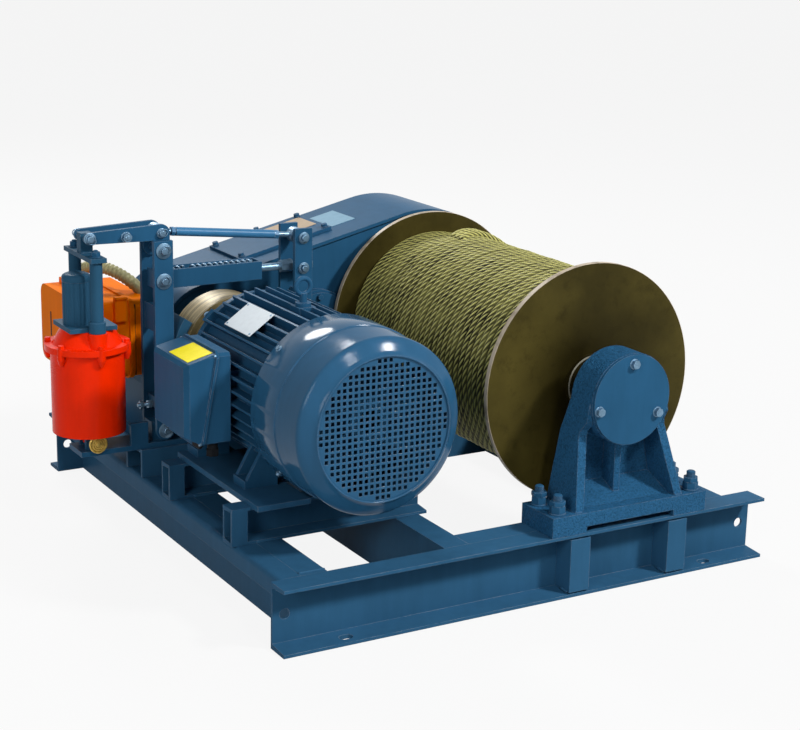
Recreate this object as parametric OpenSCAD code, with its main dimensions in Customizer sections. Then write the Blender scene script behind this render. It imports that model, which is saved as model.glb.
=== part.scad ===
// Electric winch: a channel base frame carrying a motor, a thruster brake, a wedge-shaped gear
// reducer and a rope drum on an outboard bearing pedestal. Millimetres, +Z up, +Y to the rear.
// The origin is the centre of the four anchor slots, on the floor.

/* [Base frame] */
// Length of the front and rear channels
frame_len = 1200; // [1150:10:1320]
// Depth over the flange tips of the front and rear channels
frame_depth = 1340; // [1320:10:1420]
// Height of the base channels
channel_h = 140; // [120:5:160]
// Flange width of the base channels
channel_b = 58; // [50:1:64]
// Web thickness of the base channels
channel_web = 6; // [5:0.5:8]
// Flange thickness of the base channels at half width
channel_flange = 9; // [7:0.5:12]
// Left end of the frame to the web of the left beam
left_beam_inset = 66; // [56:1:76]
// Left end of the frame to the web of the middle beam
middle_beam_inset = 395; // [370:1:415]
// Right end of the frame to the web of the right beam
right_beam_inset = 76; // [60:1:90]
// Width of the shelf angle along the left beam
shelf_w = 50; // [36:1:56]
// Leg height of the shelf angle
shelf_leg = 40; // [25:1:60]
// Thickness of the shelf angle
shelf_t = 6; // [4:1:8]
// Distance of an anchor slot from the end of its channel
slot_end = 148; // [110:1:180]
// Distance of an anchor slot from the flange tip
slot_edge = 22; // [18:1:26]
// Width of an anchor slot
slot_w = 18; // [12:1:22]
// Length of an anchor slot between its end centres
slot_run = 12; // [4:1:30]
// Diameter of the holes in the channel webs
web_hole_d = 22; // [10:1:30]

/* [Rope drum] */
// Place of the drum shaft, measured to the right of the frame centre
drum_x = 226; // [216:1:236]
// Height of the motor and drum shafts over the floor
shaft_h = 412; // [406:1:424]
// Front end of the frame to the outer face of the near drum flange
drum_front = 172; // [168:1:180]
// Length of the drum between its flanges
drum_len = 670; // [650:1:680]
// Radius of the drum flanges
flange_r = 265; // [250:1:267]
// Thickness of the drum flanges
flange_t = 12; // [8:1:16]
// Outer radius of the drum shell
shell_r = 166; // [150:1:172]
// Wall of the drum shell
shell_t = 12; // [8:1:20]
// Diameter of the wire rope
rope_d = 19.5; // [14:0.5:20]
// Full layers of rope on the drum
rope_layers = 3; // [1:1:3]
// Length of the part layer on top of them, from the near flange
rope_top_len = 520; // [200:10:600]
// Radius of the drum shaft
drum_shaft_r = 40; // [30:1:48]
// Radius of the hub in front of the near flange
hub_r = 64; // [60:1:80]
// Length of that hub
hub_len = 10; // [6:1:14]
// Thickness of the discs inside the drum shell
disc_t = 16; // [10:1:24]

/* [Bearing pedestal] */
// Length of the pedestal base
pedestal_len = 406; // [390:2:430]
// Thickness of the pedestal feet
pedestal_foot_h = 45; // [35:1:55]
// Length of each foot under the raised underside
pedestal_foot_len = 88; // [70:1:110]
// Height of the raised underside over the frame
pedestal_relief = 14; // [4:1:18]
// Radius of the bearing boss
boss_r = 100; // [94:1:108]
// Length of the bearing boss
boss_len = 74; // [66:1:90]
// Radius of the cover on the bearing boss
cap_r = 98; // [88:1:102]
// Thickness of the cover on the bearing boss
cap_t = 6; // [4:1:12]
// Thickness of the pedestal ribs and back plate
pedestal_wall = 20; // [14:1:26]
// Depth of the middle rib in front of the back plate
middle_rib = 41; // [30:1:50]
// Height of the sloping floor at the back plate
floor_rise = 33; // [20:1:40]
// Stud spacing across the frame
stud_pitch_y = 68; // [56:1:70]
// Stud distance from the end of the pedestal base
stud_end = 26; // [24:1:40]
// Diameter of the pedestal studs
stud_d = 20; // [16:1:22]
// Width of each post under the pedestal
post_w = 50; // [30:1:60]

/* [Motor] */
// Place of the motor and brake axis, measured to the left of the frame centre
motor_x = 348; // [340:1:354]
// Front end of the frame to the front of the fan cowl
motor_front = 62; // [56:1:80]
// Radius of the fan cowl
cowl_r = 187.5; // [180:0.5:188]
// Length of the fan cowl
cowl_len = 223; // [205:1:235]
// Wall of the fan cowl
cowl_t = 3; // [2:0.5:5]
// Depth of the cone in the front of the cowl
cowl_cone = 25; // [15:1:32]
// Radius of the lip round the grille, where that cone ends
lip_r = 152; // [149:1:160]
// Length of the wider rear band of the cowl
band_len = 108; // [60:1:130]
// Step from the cowl up to its rear band
band_step = 3; // [2:0.5:4]
// Radius of the round grille in the cowl
grille_r = 145; // [130:1:146]
// Depth of the grille behind the lip
grille_sink = 4; // [2:1:8]
// Pitch of the square holes in the grille
grille_pitch = 20; // [18:1:40]
// Width of the bars between the holes in the grille
grille_bar = 7; // [5:0.5:12]
// Radius over the barrel of the motor, under the fins
barrel_r = 152; // [145:1:158]
// Height of the cooling fins
fin_h = 24; // [16:1:28]
// Thickness of the cooling fins
fin_t = 5; // [4:0.5:8]
// Number of cooling fins round the barrel
fin_count = 40; // [24:2:44]
// Length of the finned frame
frame_run = 358; // [356:1:366]
// Foot spacing of the motor, across the shaft
foot_pitch_x = 280; // [270:1:290]
// Foot spacing of the motor, along the shaft
foot_pitch_y = 241; // [225:1:250]
// Front end of the frame to the first foot bolts
foot_front = 360; // [350:1:370]
// Height of the motor shaft over its feet
motor_h = 180; // [178:1:182]
// Radius of the motor shaft
motor_shaft_r = 24; // [18:1:30]
// Height of the lifting eye over the fins
eye_rise = 42; // [36:1:50]
// Length of the terminal box along the shaft
box_len = 175; // [150:1:190]
// Height of the terminal box
box_h = 208; // [180:1:220]
// Depth of the terminal box out from the motor
box_depth = 102; // [90:1:110]
// Distance of the lid seam from the motor, at its top
seam_top = 28; // [20:1:40]
// Distance of the lid seam from the motor, at its foot
seam_foot = 66; // [50:1:72]
// Projection of the lid flange
seam_over = 5; // [3:0.5:8]

/* [Motor stand] */
// Thickness of the motor rails
rail_t = 12; // [8:1:16]
// Flange width of the cross members
stand_b = 43; // [36:1:50]
// Width of a motor rail
rail_w = 120; // [90:1:124]
// Overhang of the rails in front of the front cross member
rail_over = 35; // [10:1:45]

/* [Reducer] */
// Gap between the far drum flange and the front wall of the reducer
reducer_gap = 34; // [32:1:44]
// Depth of the reducer housing
reducer_w = 250; // [230:1:270]
// Radius of the housing round the drum axis
big_r = 265; // [255:1:268]
// Radius of the housing round the input axis
small_r = 130; // [120:1:136]
// Distance from the input axis to the middle axis
mid_run = 278; // [260:1:290]
// Thickness of the joint flange at the split, each half
split_t = 14; // [10:1:20]
// Projection of the joint flange and the bearing bosses
split_over = 14; // [8:1:16]
// Thickness of the bearing covers
cover_t = 10; // [6:1:12]
// Thickness of the reducer foot plate
foot_t = 24; // [16:1:30]
// Thickness of the skin over the reducer cover
skin_t = 8; // [5:1:12]
// Overhang of that skin past the front and rear walls
skin_over = 6; // [3:1:8]
// Length of the inspection cover along the slope
hatch_len = 255; // [200:5:270]
// Width of the inspection cover
hatch_w = 175; // [140:5:190]

/* [Brake] */
// Radius of the brake wheel
wheel_r = 125; // [120:1:128]
// Width of the brake wheel
wheel_w = 90; // [80:1:96]
// Middle plane of the brake to the front wall of the reducer
brake_gap = 98; // [94:1:102]
// Drop from the brake axis to the top of the stand under it
brake_drop = 207; // [202:1:212]
// Width of the stand under the brake
brake_stand_w = 96; // [90:1:110]
// Distance of each arm from the brake axis
arm_off = 174; // [172:1:178]
// Width of an arm plate
arm_w = 45; // [40:1:48]
// Thickness of an arm plate
arm_t = 10; // [8:1:12]
// Gap between the two plates of an arm
arm_gap = 66; // [62:1:70]
// Height of the arm pivots over the brake base
arm_pivot_h = 26; // [24:1:32]
// Height of the lever pivot over the brake axis
lever_over = 246; // [238:1:250]
// Rise of the tie rod pin over the lever pivot
lever_rise = 38; // [34:1:42]
// Reach of the lever from its pivot to the thruster pin
lever_reach = 167; // [160:1:172]
// Height of the spring tube and its pin over the brake axis
spring_over = 177; // [168:1:182]
// Height of the tie rod pin in the right arm, over the brake axis
tie_over = 248; // [242:1:252]
// Gap between the brake wheel and the linings
lining_gap = 0.8; // [0.5:0.1:1.2]
// Thickness of a brake lining
lining_t = 8; // [6:1:9]
// Diameter of the brake pins
pin_d = 16; // [12:1:18]
// Play of the lever in its end pins, on the radius
open_fit = 1.2; // [1:0.1:1.5]
// Running gap of a pin in its hole, on the radius
pin_fit = 0.05; // [0.02:0.01:0.1]

/* [Switch housing] */
// Length of the housing, away from the reducer
housing_len = 168; // [120:1:200]
// Width of the housing
housing_w = 290; // [200:5:300]
// Height of the housing
housing_h = 184; // [160:2:200]
// Drop from the shaft height to its underside
housing_drop = 82; // [60:1:100]

/* [Thruster] */
// Radius of the thruster body
thruster_r = 82; // [80:1:90]
// Drop from the brake axis to the underside of the body
thruster_drop = 155; // [145:1:156]
// Height of the body up to its rim
thruster_h = 203; // [190:1:212]
// Height of the cone over the rim
cone_h = 34; // [28:1:40]
// Distance of each push rod from the thruster axis
rod_off = 66; // [60:1:70]
// Radius of the push rod tubes
rod_r = 14; // [10:1:16]
// Radius of the thruster motor
thruster_motor_r = 30; // [24:1:32]
// Distance of the thruster motor from the thruster axis
thruster_motor_off = 22; // [0:1:24]

/* [Hidden] */
$fn = 64;
eps = 0.01;
blue = [0.16, 0.36, 0.52];
dark_blue = [0.10, 0.22, 0.32];
zinc = [0.62, 0.70, 0.78];
olive = [0.36, 0.30, 0.12];
rope_colour = [0.62, 0.58, 0.28];
red = [0.86, 0.16, 0.04];
orange = [0.90, 0.45, 0.05];
khaki = [0.55, 0.49, 0.33];

frame_front = -frame_depth / 2;
web_front_y = frame_front + channel_b;
left_x = -frame_len / 2 + left_beam_inset;
middle_x = -frame_len / 2 + middle_beam_inset;
right_x = frame_len / 2 - right_beam_inset;
shelf_x = left_x - shelf_w;
top_z = channel_h;
stand_h = shaft_h - motor_h - rail_t - channel_h;
stand_z = top_z + stand_h;

near_y = frame_front + drum_front;
far_y = near_y + flange_t + drum_len;
layer_h = 0.8 * rope_d;
rope_r = shell_r + rope_d + layer_h * (rope_layers - 1);
rope_top_r = rope_r + layer_h;
rope_gap = 0.3;
pad_reach = barrel_r + fin_h + 2;

axis_x = -motor_x;
cowl_y = frame_front + motor_front;
barrel_y = cowl_y + cowl_len - 12;
fan_y = barrel_y - 146;
foot_y = frame_front + foot_front;
shield_t = 44;
foot_len = 56;
shaft_end_y = barrel_y + frame_run + shield_t;

reducer_y = far_y + flange_t + reducer_gap;
brake_y = reducer_y - brake_gap;
brake_stand_h = shaft_h - brake_drop - channel_h;
wheel_y = brake_y - wheel_w / 2;
brake_z = top_z + brake_stand_h;
lug_z = brake_z + 32;
base_t = 12;
pivot_z = brake_z + base_t + arm_pivot_h;
arm_y = brake_y - arm_gap / 2 - arm_t;
pin_r = pin_d / 2;
left_arm_x = axis_x - arm_off;
right_arm_x = axis_x + arm_off;
lever_t = 8;
lever_gap = arm_gap - 2 * lever_t - 2;
thruster_x = left_arm_x - lever_reach;
thruster_z = shaft_h - thruster_drop;
lever_z = shaft_h + lever_over;
lever_pin_z = lever_z + lever_rise;
spring_z = shaft_h + spring_over;
tie_z = shaft_h + tie_over;

mid_x = axis_x + mid_run;
reducer_left = axis_x - small_r;
reducer_right = drum_x + big_r;
input_r = 30;
shaft_entry = 40;
// Each bearing: place along X, radius of its boss and radius of the shaft that comes out in front
bearing_seats = [[axis_x, 76, input_r], [mid_x, 90, 0], [drum_x, 112, drum_shaft_r]];

// Channel lying along +X: web on the plane Y = 0, flanges towards +Y, standing on Z = 0
module channel(len, h = channel_h, b = channel_b, web = channel_web, flange = channel_flange) {
    slope = 0.08 * (b - web) / 2;
    rotate([90, 0, 90])
        linear_extrude(len)
            polygon([[0, 0], [b, 0], [b, flange - slope], [web, flange + slope],
                [web, h - flange - slope], [b, h - flange + slope], [b, h], [0, h]]);
}

// Cylinder along +Y from y to y + len
module along_y(x, y, z, r, len, fn = 64) {
    translate([x, y, z]) rotate([-90, 0, 0]) cylinder(r = r, h = len, $fn = fn);
}

// Anchor slots and web holes of one outer channel, drawn in the channel's own place
module channel_holes() {
    for (x = [slot_end, frame_len - slot_end])
        for (end = [-1, 1])
            translate([x + end * slot_run / 2, channel_b - slot_edge, -1])
                cylinder(d = slot_w, h = 2 * channel_flange, $fn = 32);
    for (x = [slot_end, frame_len - slot_end])
        translate([x - slot_run / 2, channel_b - slot_edge - slot_w / 2, -1])
            cube([slot_run, slot_w, 2 * channel_flange]);
    for (x = [27, frame_len - 27])
        translate([x, -1, channel_h / 2])
            rotate([-90, 0, 0]) cylinder(d = web_hole_d, h = channel_web + 2, $fn = 32);
}

module outer_channel() {
    difference() {
        channel(frame_len);
        channel_holes();
    }
}

module front_channel() color(blue)
    translate([frame_len / 2, web_front_y, 0]) rotate([0, 0, 180]) outer_channel();

module rear_channel() color(blue)
    translate([-frame_len / 2, -web_front_y, 0]) outer_channel();

// Channel along +Y between two depths, its web on the left and its flanges to the right
module beam_along_y(x, y_from, y_to, flip = 1) {
    translate([x, flip > 0 ? y_to : y_from, 0]) rotate([0, 0, -90 * flip]) channel(y_to - y_from);
}

module left_beam() color(blue) beam_along_y(left_x, web_front_y, -web_front_y);

module middle_beam() color(blue) beam_along_y(middle_x, web_front_y, -web_front_y);

module right_beam() color(blue)
    beam_along_y(right_x, web_front_y + channel_b, -web_front_y, -1);

// Bent plate along the left beam: a round outer edge between its top and its leg
module shelf_angle() color(blue)
    translate([left_x, web_front_y, top_z])
        rotate([90, 0, 180])
            linear_extrude(2 * -web_front_y)
                difference() {
                    union() {
                        translate([0, -shelf_t]) square([shelf_w - 10, shelf_t]);
                        translate([shelf_w - 10, -10]) circle(r = 10);
                        translate([shelf_w - shelf_t, -shelf_leg]) square([shelf_t, shelf_leg - 10]);
                    }
                    translate([0, -10 - shelf_leg]) square([shelf_w - shelf_t, 10 + shelf_leg - shelf_t - 4]);
                }

module pedestal_beam() color(blue)
    translate([middle_x + channel_b, web_front_y, 0]) channel(right_x - middle_x - channel_b);

module reducer_beam(y, flip) {
    beam_len = right_x - middle_x - 2 * channel_b;
    translate([middle_x + channel_b, y, 0])
        if (flip > 0) channel(beam_len);
        else translate([beam_len, 0, 0]) rotate([0, 0, 180]) channel(beam_len);
}

module reducer_beams() color(blue) {
    reducer_beam(reducer_y + 40, 1);
    reducer_beam(reducer_y + reducer_w - 40, -1);
}

// Stiffening posts inside the front channel, under the feet of the pedestal
module pedestal_posts() color(blue)
    for (side = [-1, 1])
        translate([drum_x + side * (pedestal_len / 2 - post_w - 24) - post_w / 2, frame_front, channel_flange + 2])
            cube([post_w, channel_b - channel_web, channel_h - 2 * channel_flange - 4]);

// Cross member on top of the beams: flanges to the front, a flat bar closing its left end
module cross_member(y) {
    len = middle_x + channel_b + 19 - (shelf_x - 6);
    translate([shelf_x - 6, y, top_z]) {
        translate([len, stand_b, 0]) rotate([0, 0, 180]) channel(len, stand_h, stand_b, 5, 8);
        translate([0, 0, 4]) cube([36, 6, stand_h - 8]);
    }
}

module motor_cross_members() color(blue) {
    cross_member(foot_y - 101);
    cross_member(foot_y + foot_pitch_y - 20);
}

// Flat rails under the motor feet, drilled for the foot bolts
module motor_rails() color(blue)
    for (side = [-1, 1])
        difference() {
            translate([axis_x + side * foot_pitch_x / 2 - rail_w / 2, foot_y - 101 - rail_over, stand_z])
                cube([rail_w, foot_pitch_y + 90 + stand_b + rail_over, rail_t]);
            for (y = [foot_y, foot_y + foot_pitch_y])
                translate([axis_x + side * foot_pitch_x / 2, y, stand_z - 1])
                    cylinder(d = 15, h = rail_t + 2, $fn = 24);
        }

// Folded stand across the beams, open below
module brake_stand() color(blue) {
    len = middle_x + channel_b - shelf_x;
    translate([shelf_x, brake_y - brake_stand_w / 2, top_z])
        difference() {
            cube([len, brake_stand_w, brake_stand_h]);
            translate([-1, 8, -1]) cube([len + 2, brake_stand_w - 16, brake_stand_h - 7]);
        }
}

module pedestal_outline() {
    base = top_z + pedestal_foot_h - eps - shaft_h;
    x = (boss_r - 1) * cos(12);
    z = (boss_r - 1) * sin(12);
    foot = pedestal_len / 2 - 62;
    polygon([[-foot, base], [foot, base], [x, z], [-x, z]]);
}

// Side view of the ribs: they lean back to a waist below the boss and come forwards again at it
module pedestal_profile() {
    base = top_z + pedestal_foot_h;
    rotate([90, 0, 90]) translate([0, 0, -pedestal_len / 2])
        linear_extrude(pedestal_len)
            polygon([[8, base - 2], [8, base + 2], [48, shaft_h - 74], [46, shaft_h - 62], [30, shaft_h - 40],
                [30, shaft_h + boss_r], [98, shaft_h + boss_r], [98, shaft_h], [2 * channel_b - 2, shaft_h - 74],
                [2 * channel_b, base + 60], [2 * channel_b, base - 2]]);
}

// Cast pedestal: foot plate, back plate, two rim ribs, a middle rib, a sloping floor and the bearing boss
module bearing_pedestal() color(blue) {
    base_y = frame_front;
    depth = 2 * channel_b;
    base = top_z + pedestal_foot_h;
    difference() {
        union() {
            translate([drum_x - pedestal_len / 2, base_y, top_z])
                cube([pedestal_len, depth, pedestal_foot_h]);
            translate([drum_x, base_y, 0])
                intersection() {
                    pedestal_profile();
                    union() {
                        translate([0, depth + 1, shaft_h]) rotate([90, 0, 0])
                            linear_extrude(pedestal_wall - 2) pedestal_outline();
                        translate([0, depth + 1, shaft_h]) rotate([90, 0, 0])
                            linear_extrude(depth + 2) difference() {
                                pedestal_outline();
                                pedestal_pocket();
                            }
                    }
                }
            translate([drum_x - pedestal_wall * 0.4, base_y + depth - pedestal_wall + 3 - middle_rib, base - 1])
                cube([pedestal_wall * 0.8, middle_rib + 8, shaft_h - base - boss_r + 8]);
            translate([drum_x - pedestal_len / 2 + 77, base_y, 0]) rotate([90, 0, 90])
                linear_extrude(pedestal_len - 154)
                    polygon([[24, base - 3], [depth - pedestal_wall + 12, base - 3], [depth - pedestal_wall + 12, base + floor_rise + 4]]);
            along_y(drum_x, base_y + 24, shaft_h, boss_r, boss_len, 96);
        }
        translate([drum_x - pedestal_len / 2 + pedestal_foot_len, base_y - 1, top_z - 1])
            cube([pedestal_len - 2 * pedestal_foot_len, depth + 2, pedestal_relief + 1]);
        along_y(drum_x, base_y + 23, shaft_h, drum_shaft_r + 0.06, depth, 96);
        for (side = [-1, 1], y = [-1, 1])
            translate([drum_x + side * (pedestal_len / 2 - stud_end), base_y + channel_b + y * stud_pitch_y / 2, top_z - 1])
                cylinder(d = stud_d + 2, h = pedestal_foot_h + 2, $fn = 32);
    }
}

// The space between the rim ribs, below the boss
module pedestal_pocket() {
    w = pedestal_wall;
    base = top_z + pedestal_foot_h - shaft_h;
    polygon([[-pedestal_len / 2 + 62 + w, base - 1], [-boss_r * cos(12) + w, boss_r * sin(12) - 20],
        [boss_r * cos(12) - w, boss_r * sin(12) - 20], [pedestal_len / 2 - 62 - w, base - 1]]);
}

module pedestal_cap() color(blue) {
    along_y(drum_x, frame_front + 24 - cap_t, shaft_h, cap_r, cap_t, 96);
    for (bolt = [[90, 0.80], [190, 0.88], [333, 0.78]])
        translate([drum_x + bolt[1] * cap_r * cos(bolt[0]), frame_front + 24 - cap_t - 7, shaft_h + bolt[1] * cap_r * sin(bolt[0])])
            rotate([-90, 0, 0]) cylinder(d = 16, h = 7.5, $fn = 6);
}

// Studs through the pedestal feet, with washers and double nuts
module pedestal_studs() color(dark_blue)
    for (side = [-1, 1], y = [-1, 1])
        translate([drum_x + side * (pedestal_len / 2 - stud_end), frame_front + channel_b + y * stud_pitch_y / 2,
            top_z + pedestal_foot_h]) {
            cylinder(d = 38, h = 3, $fn = 32);
            translate([0, 0, 3]) cylinder(d = 34.6, h = 17, $fn = 6);
            translate([0, 0, -pedestal_foot_h]) cylinder(d = stud_d, h = pedestal_foot_h + 40, $fn = 32);
        }

// Ring or disc about the drum axis, from y to y + len
module drum_ring(y, len, outer, inner, fn = 120) {
    translate([drum_x, y, shaft_h]) rotate([-90, 0, 0])
        difference() {
            cylinder(r = outer, h = len, $fn = fn);
            translate([0, 0, -1]) cylinder(r = inner, h = len + 2, $fn = fn);
        }
}

module drum_shell() color(olive) {
    drum_ring(near_y + flange_t, drum_len, shell_r, shell_r - shell_t);
    for (y = [near_y + flange_t, far_y - disc_t])
        drum_ring(y, disc_t, shell_r - shell_t + 1, drum_shaft_r);
}

module near_flange() color(olive) {
    drum_ring(near_y, flange_t, flange_r, drum_shaft_r);
    drum_ring(near_y - hub_len, hub_len + 1, hub_r, drum_shaft_r, 96);
}

module far_flange() color(olive) drum_ring(far_y, flange_t, flange_r, drum_shaft_r);

// Closed turns of rope side by side, each with a crown and sloping sides
module rope_turns(y, count, pitch, outer, inner) {
    r = rope_d / 2;
    side = [for (k = [0:count - 1], a = [-75, -30, 30]) [outer - r * (1 - cos(a)), pitch * (k + 0.5 + 0.5 * sin(a) / sin(75))]];
    ends = [[outer - r * (1 - cos(75)), count * pitch], [inner, count * pitch], [inner, 0]];
    translate([drum_x, y, shaft_h]) rotate([-90, 0, 0]) rotate_extrude($fn = 120) polygon(concat(side, ends));
}

// Rope winding: full layers over the whole drum and a part layer from the near flange
module rope_winding() color(rope_colour) {
    run = drum_len - 2 * rope_gap;
    turns = floor(run / rope_d);
    top = floor(rope_top_len / rope_d);
    start = near_y + flange_t + rope_gap;
    rope_turns(start, turns, run / turns, rope_r, shell_r + rope_gap);
    rope_turns(start, top, run / turns, rope_top_r, rope_r - rope_d / 2);
}

module drum_shaft() color(zinc)
    along_y(drum_x, frame_front + 26, shaft_h, drum_shaft_r, reducer_y + shaft_entry - frame_front - 26, 96);

// Finned barrel with its feet
module motor_body() color(blue)
    translate([axis_x, barrel_y, shaft_h]) rotate([-90, 0, 0]) {
        difference() {
            cylinder(r = barrel_r, h = frame_run, $fn = 96);
            translate([0, 0, -1]) cylinder(r = motor_shaft_r + pin_fit, h = frame_run + 2, $fn = 64);
        }
        for (i = [0 : fin_count - 1]) {
            a = (i + 0.5) * 360 / fin_count;
            rotate([0, 0, a]) translate([barrel_r - 2, -fin_t / 2, 6])
                cube([fin_h + 2, fin_t, frame_run - 12]);
        }
        translate([-20, -pad_reach + 2, foot_y + 60 - barrel_y - 20]) cube([40, 40, 40]);
        translate([-pad_reach, -50, foot_y + 70 - barrel_y]) cube([pad_reach - barrel_r + 20, 100, box_len - 60]);
        for (side = [-1, 1], y = [foot_y - barrel_y, foot_y - barrel_y + foot_pitch_y])
            translate([0, 0, y - foot_len / 2]) motor_foot(side);
    }

// One motor foot: a drilled pad, a wall up to the barrel and two sloping ribs
module motor_foot(side) {
    edge = foot_pitch_x / 2;
    difference() {
        linear_extrude(foot_len)
            polygon([for (p = [[edge - 38, motor_h], [edge + 38, motor_h], [edge + 38, motor_h - 18], [edge - 26, motor_h - 18],
                [edge - 26, barrel_r * 0.62], [edge - 38, barrel_r * 0.7]]) [side * p[0], p[1]]]);
        translate([side * edge, motor_h - 30, foot_len / 2]) rotate([-90, 0, 0]) cylinder(d = 15, h = 60, $fn = 24);
    }
    for (z = [0, foot_len - 10])
        translate([0, 0, z]) linear_extrude(10)
            polygon([for (p = [[edge - 30, motor_h - 17], [edge + 34, motor_h - 17], [edge - 12, barrel_r * 0.54],
                [edge - 40, barrel_r * 0.54]]) [side * p[0], p[1]]]);
}

module end_shields() color(blue) {
    front_shield();
    rear_shield();
}

// Front shield with four lugs that carry the fan cowl
module front_shield()
    translate([axis_x, barrel_y - 14, shaft_h]) rotate([-90, 0, 0])
        difference() {
            intersection() {
                cylinder(r = cowl_r - cowl_t, h = 14, $fn = 96);
                union() {
                    cylinder(r = barrel_r + 10, h = 14, $fn = 96);
                    for (a = [45 : 90 : 315])
                        rotate([0, 0, a]) translate([0, -18, 0]) cube([cowl_r, 36, 14]);
                }
            }
            translate([0, 0, -1]) cylinder(r = motor_shaft_r + pin_fit, h = 16, $fn = 64);
        }

module rear_shield()
    translate([axis_x, barrel_y + frame_run, shaft_h]) rotate([-90, 0, 0])
        difference() {
            union() {
                cylinder(r = barrel_r + 12, h = 16, $fn = 96);
                translate([0, 0, 16]) cylinder(r1 = barrel_r - 4, r2 = 78, h = shield_t - 16, $fn = 96);
                for (a = [45 : 90 : 315])
                    rotate([0, 0, a]) translate([barrel_r + 4, -16, 0]) cube([fin_h - 8, 32, 14]);
            }
            translate([0, 0, -1]) cylinder(r = motor_shaft_r + pin_fit, h = shield_t + 2, $fn = 64);
        }

// Fan cowl: a drum open to the rear, with a cone, a lip and a sunk punched grille in front
module fan_cowl() color(blue)
    translate([axis_x, cowl_y, shaft_h]) rotate([-90, 0, 0]) {
        difference() {
            rotate_extrude($fn = 96)
                difference() {
                    cowl_half(0);
                    cowl_half(cowl_t);
                }
            translate([0, 0, -1]) cylinder(r = grille_r, h = cowl_t + 2, $fn = 96);
        }
        rotate_extrude($fn = 96) translate([grille_r, 0.5]) square([cowl_t, grille_sink + cowl_t - 0.5]);
        translate([0, 0, grille_sink]) grille();
    }

// Half section of the cowl: flat lip, cone and round edge in front, and a wider band round its open rear
module cowl_half(inset) {
    front_r = cowl_r - band_step - inset;
    open_y = cowl_len + (inset > 0 ? 1 : 0);
    band_y = cowl_len - band_len + inset;
    lip = lip_r - 0.5 * inset;
    edge_y = cowl_cone + 0.5 * inset;
    polygon([[0, inset], [lip - 5, inset], [lip, inset + 2], [front_r - 5, edge_y - 4], [front_r, edge_y + 2],
        [front_r, band_y], [cowl_r - inset, band_y + 2], [cowl_r - inset, open_y], [0, open_y]]);
}

module grille() {
    n = floor(grille_r / grille_pitch);
    linear_extrude(cowl_t)
        difference() {
            circle(r = grille_r + 0.5, $fn = 96);
            for (i = [-n : n], j = [-n : n])
                if (norm([i, j]) * grille_pitch + grille_pitch / 2 < grille_r)
                    translate([i * grille_pitch, j * grille_pitch])
                        square(grille_pitch - grille_bar, center = true);
        }
}

module cooling_fan() color(dark_blue)
    translate([axis_x, fan_y, shaft_h]) rotate([-90, 0, 0]) {
        difference() {
            cylinder(r = 46, h = 60, $fn = 48);
            translate([0, 0, -1]) cylinder(r = motor_shaft_r, h = 62, $fn = 64);
        }
        for (i = [0 : 6])
            rotate([0, 0, i * 360 / 7]) translate([44, -2, 4]) cube([106, 4, 52]);
    }

// Terminal box on the left side of the barrel: a body, a leaning flange and a lid with bevelled edges
module terminal_box() color(blue) {
    x = axis_x - pad_reach;
    y = foot_y + 40;
    z = shaft_h - box_h / 2;
    lid_z = z + 2 * seam_over;
    intersection() {
        side_extrude(y, box_len)
            polygon([[x, lid_z], [x, z + box_h - seam_over], [x - seam_top, z + box_h - seam_over],
                [x - box_depth + 8, z + box_h - 22], [x - box_depth, z + box_h - 30],
                [x - box_depth, z + 30], [x - seam_foot, lid_z]]);
        bevelled_block(x - box_depth, y, z, 0, 12);
        translate([0, 0, z]) linear_extrude(box_h)
            polygon([[x, y], [x, y + box_len], [x - box_depth + 10, y + box_len], [x - box_depth, y + box_len - 10],
                [x - box_depth, y + 10], [x - box_depth + 10, y]]);
    }
    intersection() {
        side_extrude(y - seam_over, box_len + 2 * seam_over)
            polygon([[x - seam_top + 3, z + box_h], [x - seam_top - 3, z + box_h], [x - seam_foot - 3, z], [x - seam_foot + 3, z]]);
        bevelled_block(x - box_depth, y, z, seam_over, 14);
    }
    translate([x - seam_top - 6, y + 18, lid_z - 16]) cylinder(r = 11, h = 17, $fn = 32);
    translate([x - seam_top - 6, y + 18, lid_z - 30]) cylinder(r = 14, h = 15, $fn = 6);
}

// Block along +X with its four long edges bevelled, grown by a margin along Y
module bevelled_block(x, y, z, grow, bevel) {
    w = box_len + 2 * grow;
    translate([x - 1, y - grow, z]) rotate([90, 0, 90])
        linear_extrude(box_depth + 2)
            polygon([[0, bevel], [bevel, 0], [w - bevel, 0], [w, bevel], [w, box_h - bevel],
                [w - bevel, box_h], [bevel, box_h], [0, box_h - bevel]]);
}

module lifting_eye() color(blue)
    translate([axis_x, foot_y + 60, shaft_h + barrel_r + fin_h]) {
        cylinder(d = 34, h = 8, $fn = 48);
        cylinder(d = 16, h = eye_rise - 14, $fn = 32);
        translate([0, 0, eye_rise]) rotate([90, 0, 0])
            rotate_extrude($fn = 48) translate([17, 0]) circle(d = 10, $fn = 24);
    }

// Rotor shaft from the fan to the brake wheel
module motor_shaft() color(zinc) {
    along_y(axis_x, fan_y, shaft_h, motor_shaft_r, wheel_y - fan_y, 64);
    along_y(axis_x, shaft_end_y + 6, shaft_h, 62, wheel_y - shaft_end_y - 6, 64);
}

// Input shaft of the reducer, which carries the brake wheel
module input_shaft() color(zinc)
    along_y(axis_x, wheel_y + wheel_w - 30, shaft_h, input_r, reducer_y + shaft_entry - wheel_y - wheel_w + 30, 64);

module brake_wheel() color(khaki)
    translate([axis_x, wheel_y, shaft_h]) rotate([-90, 0, 0])
        difference() {
            cylinder(r = wheel_r, h = wheel_w, $fn = 120);
            for (z = [-1, wheel_w - 29])
                translate([0, 0, z]) difference() {
                    cylinder(r = wheel_r - 14, h = 30, $fn = 96);
                    translate([0, 0, -1]) cylinder(r = 62, h = 32, $fn = 64);
                }
            translate([0, 0, wheel_w - 30]) cylinder(r = input_r, h = 31, $fn = 64);
        }

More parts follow.
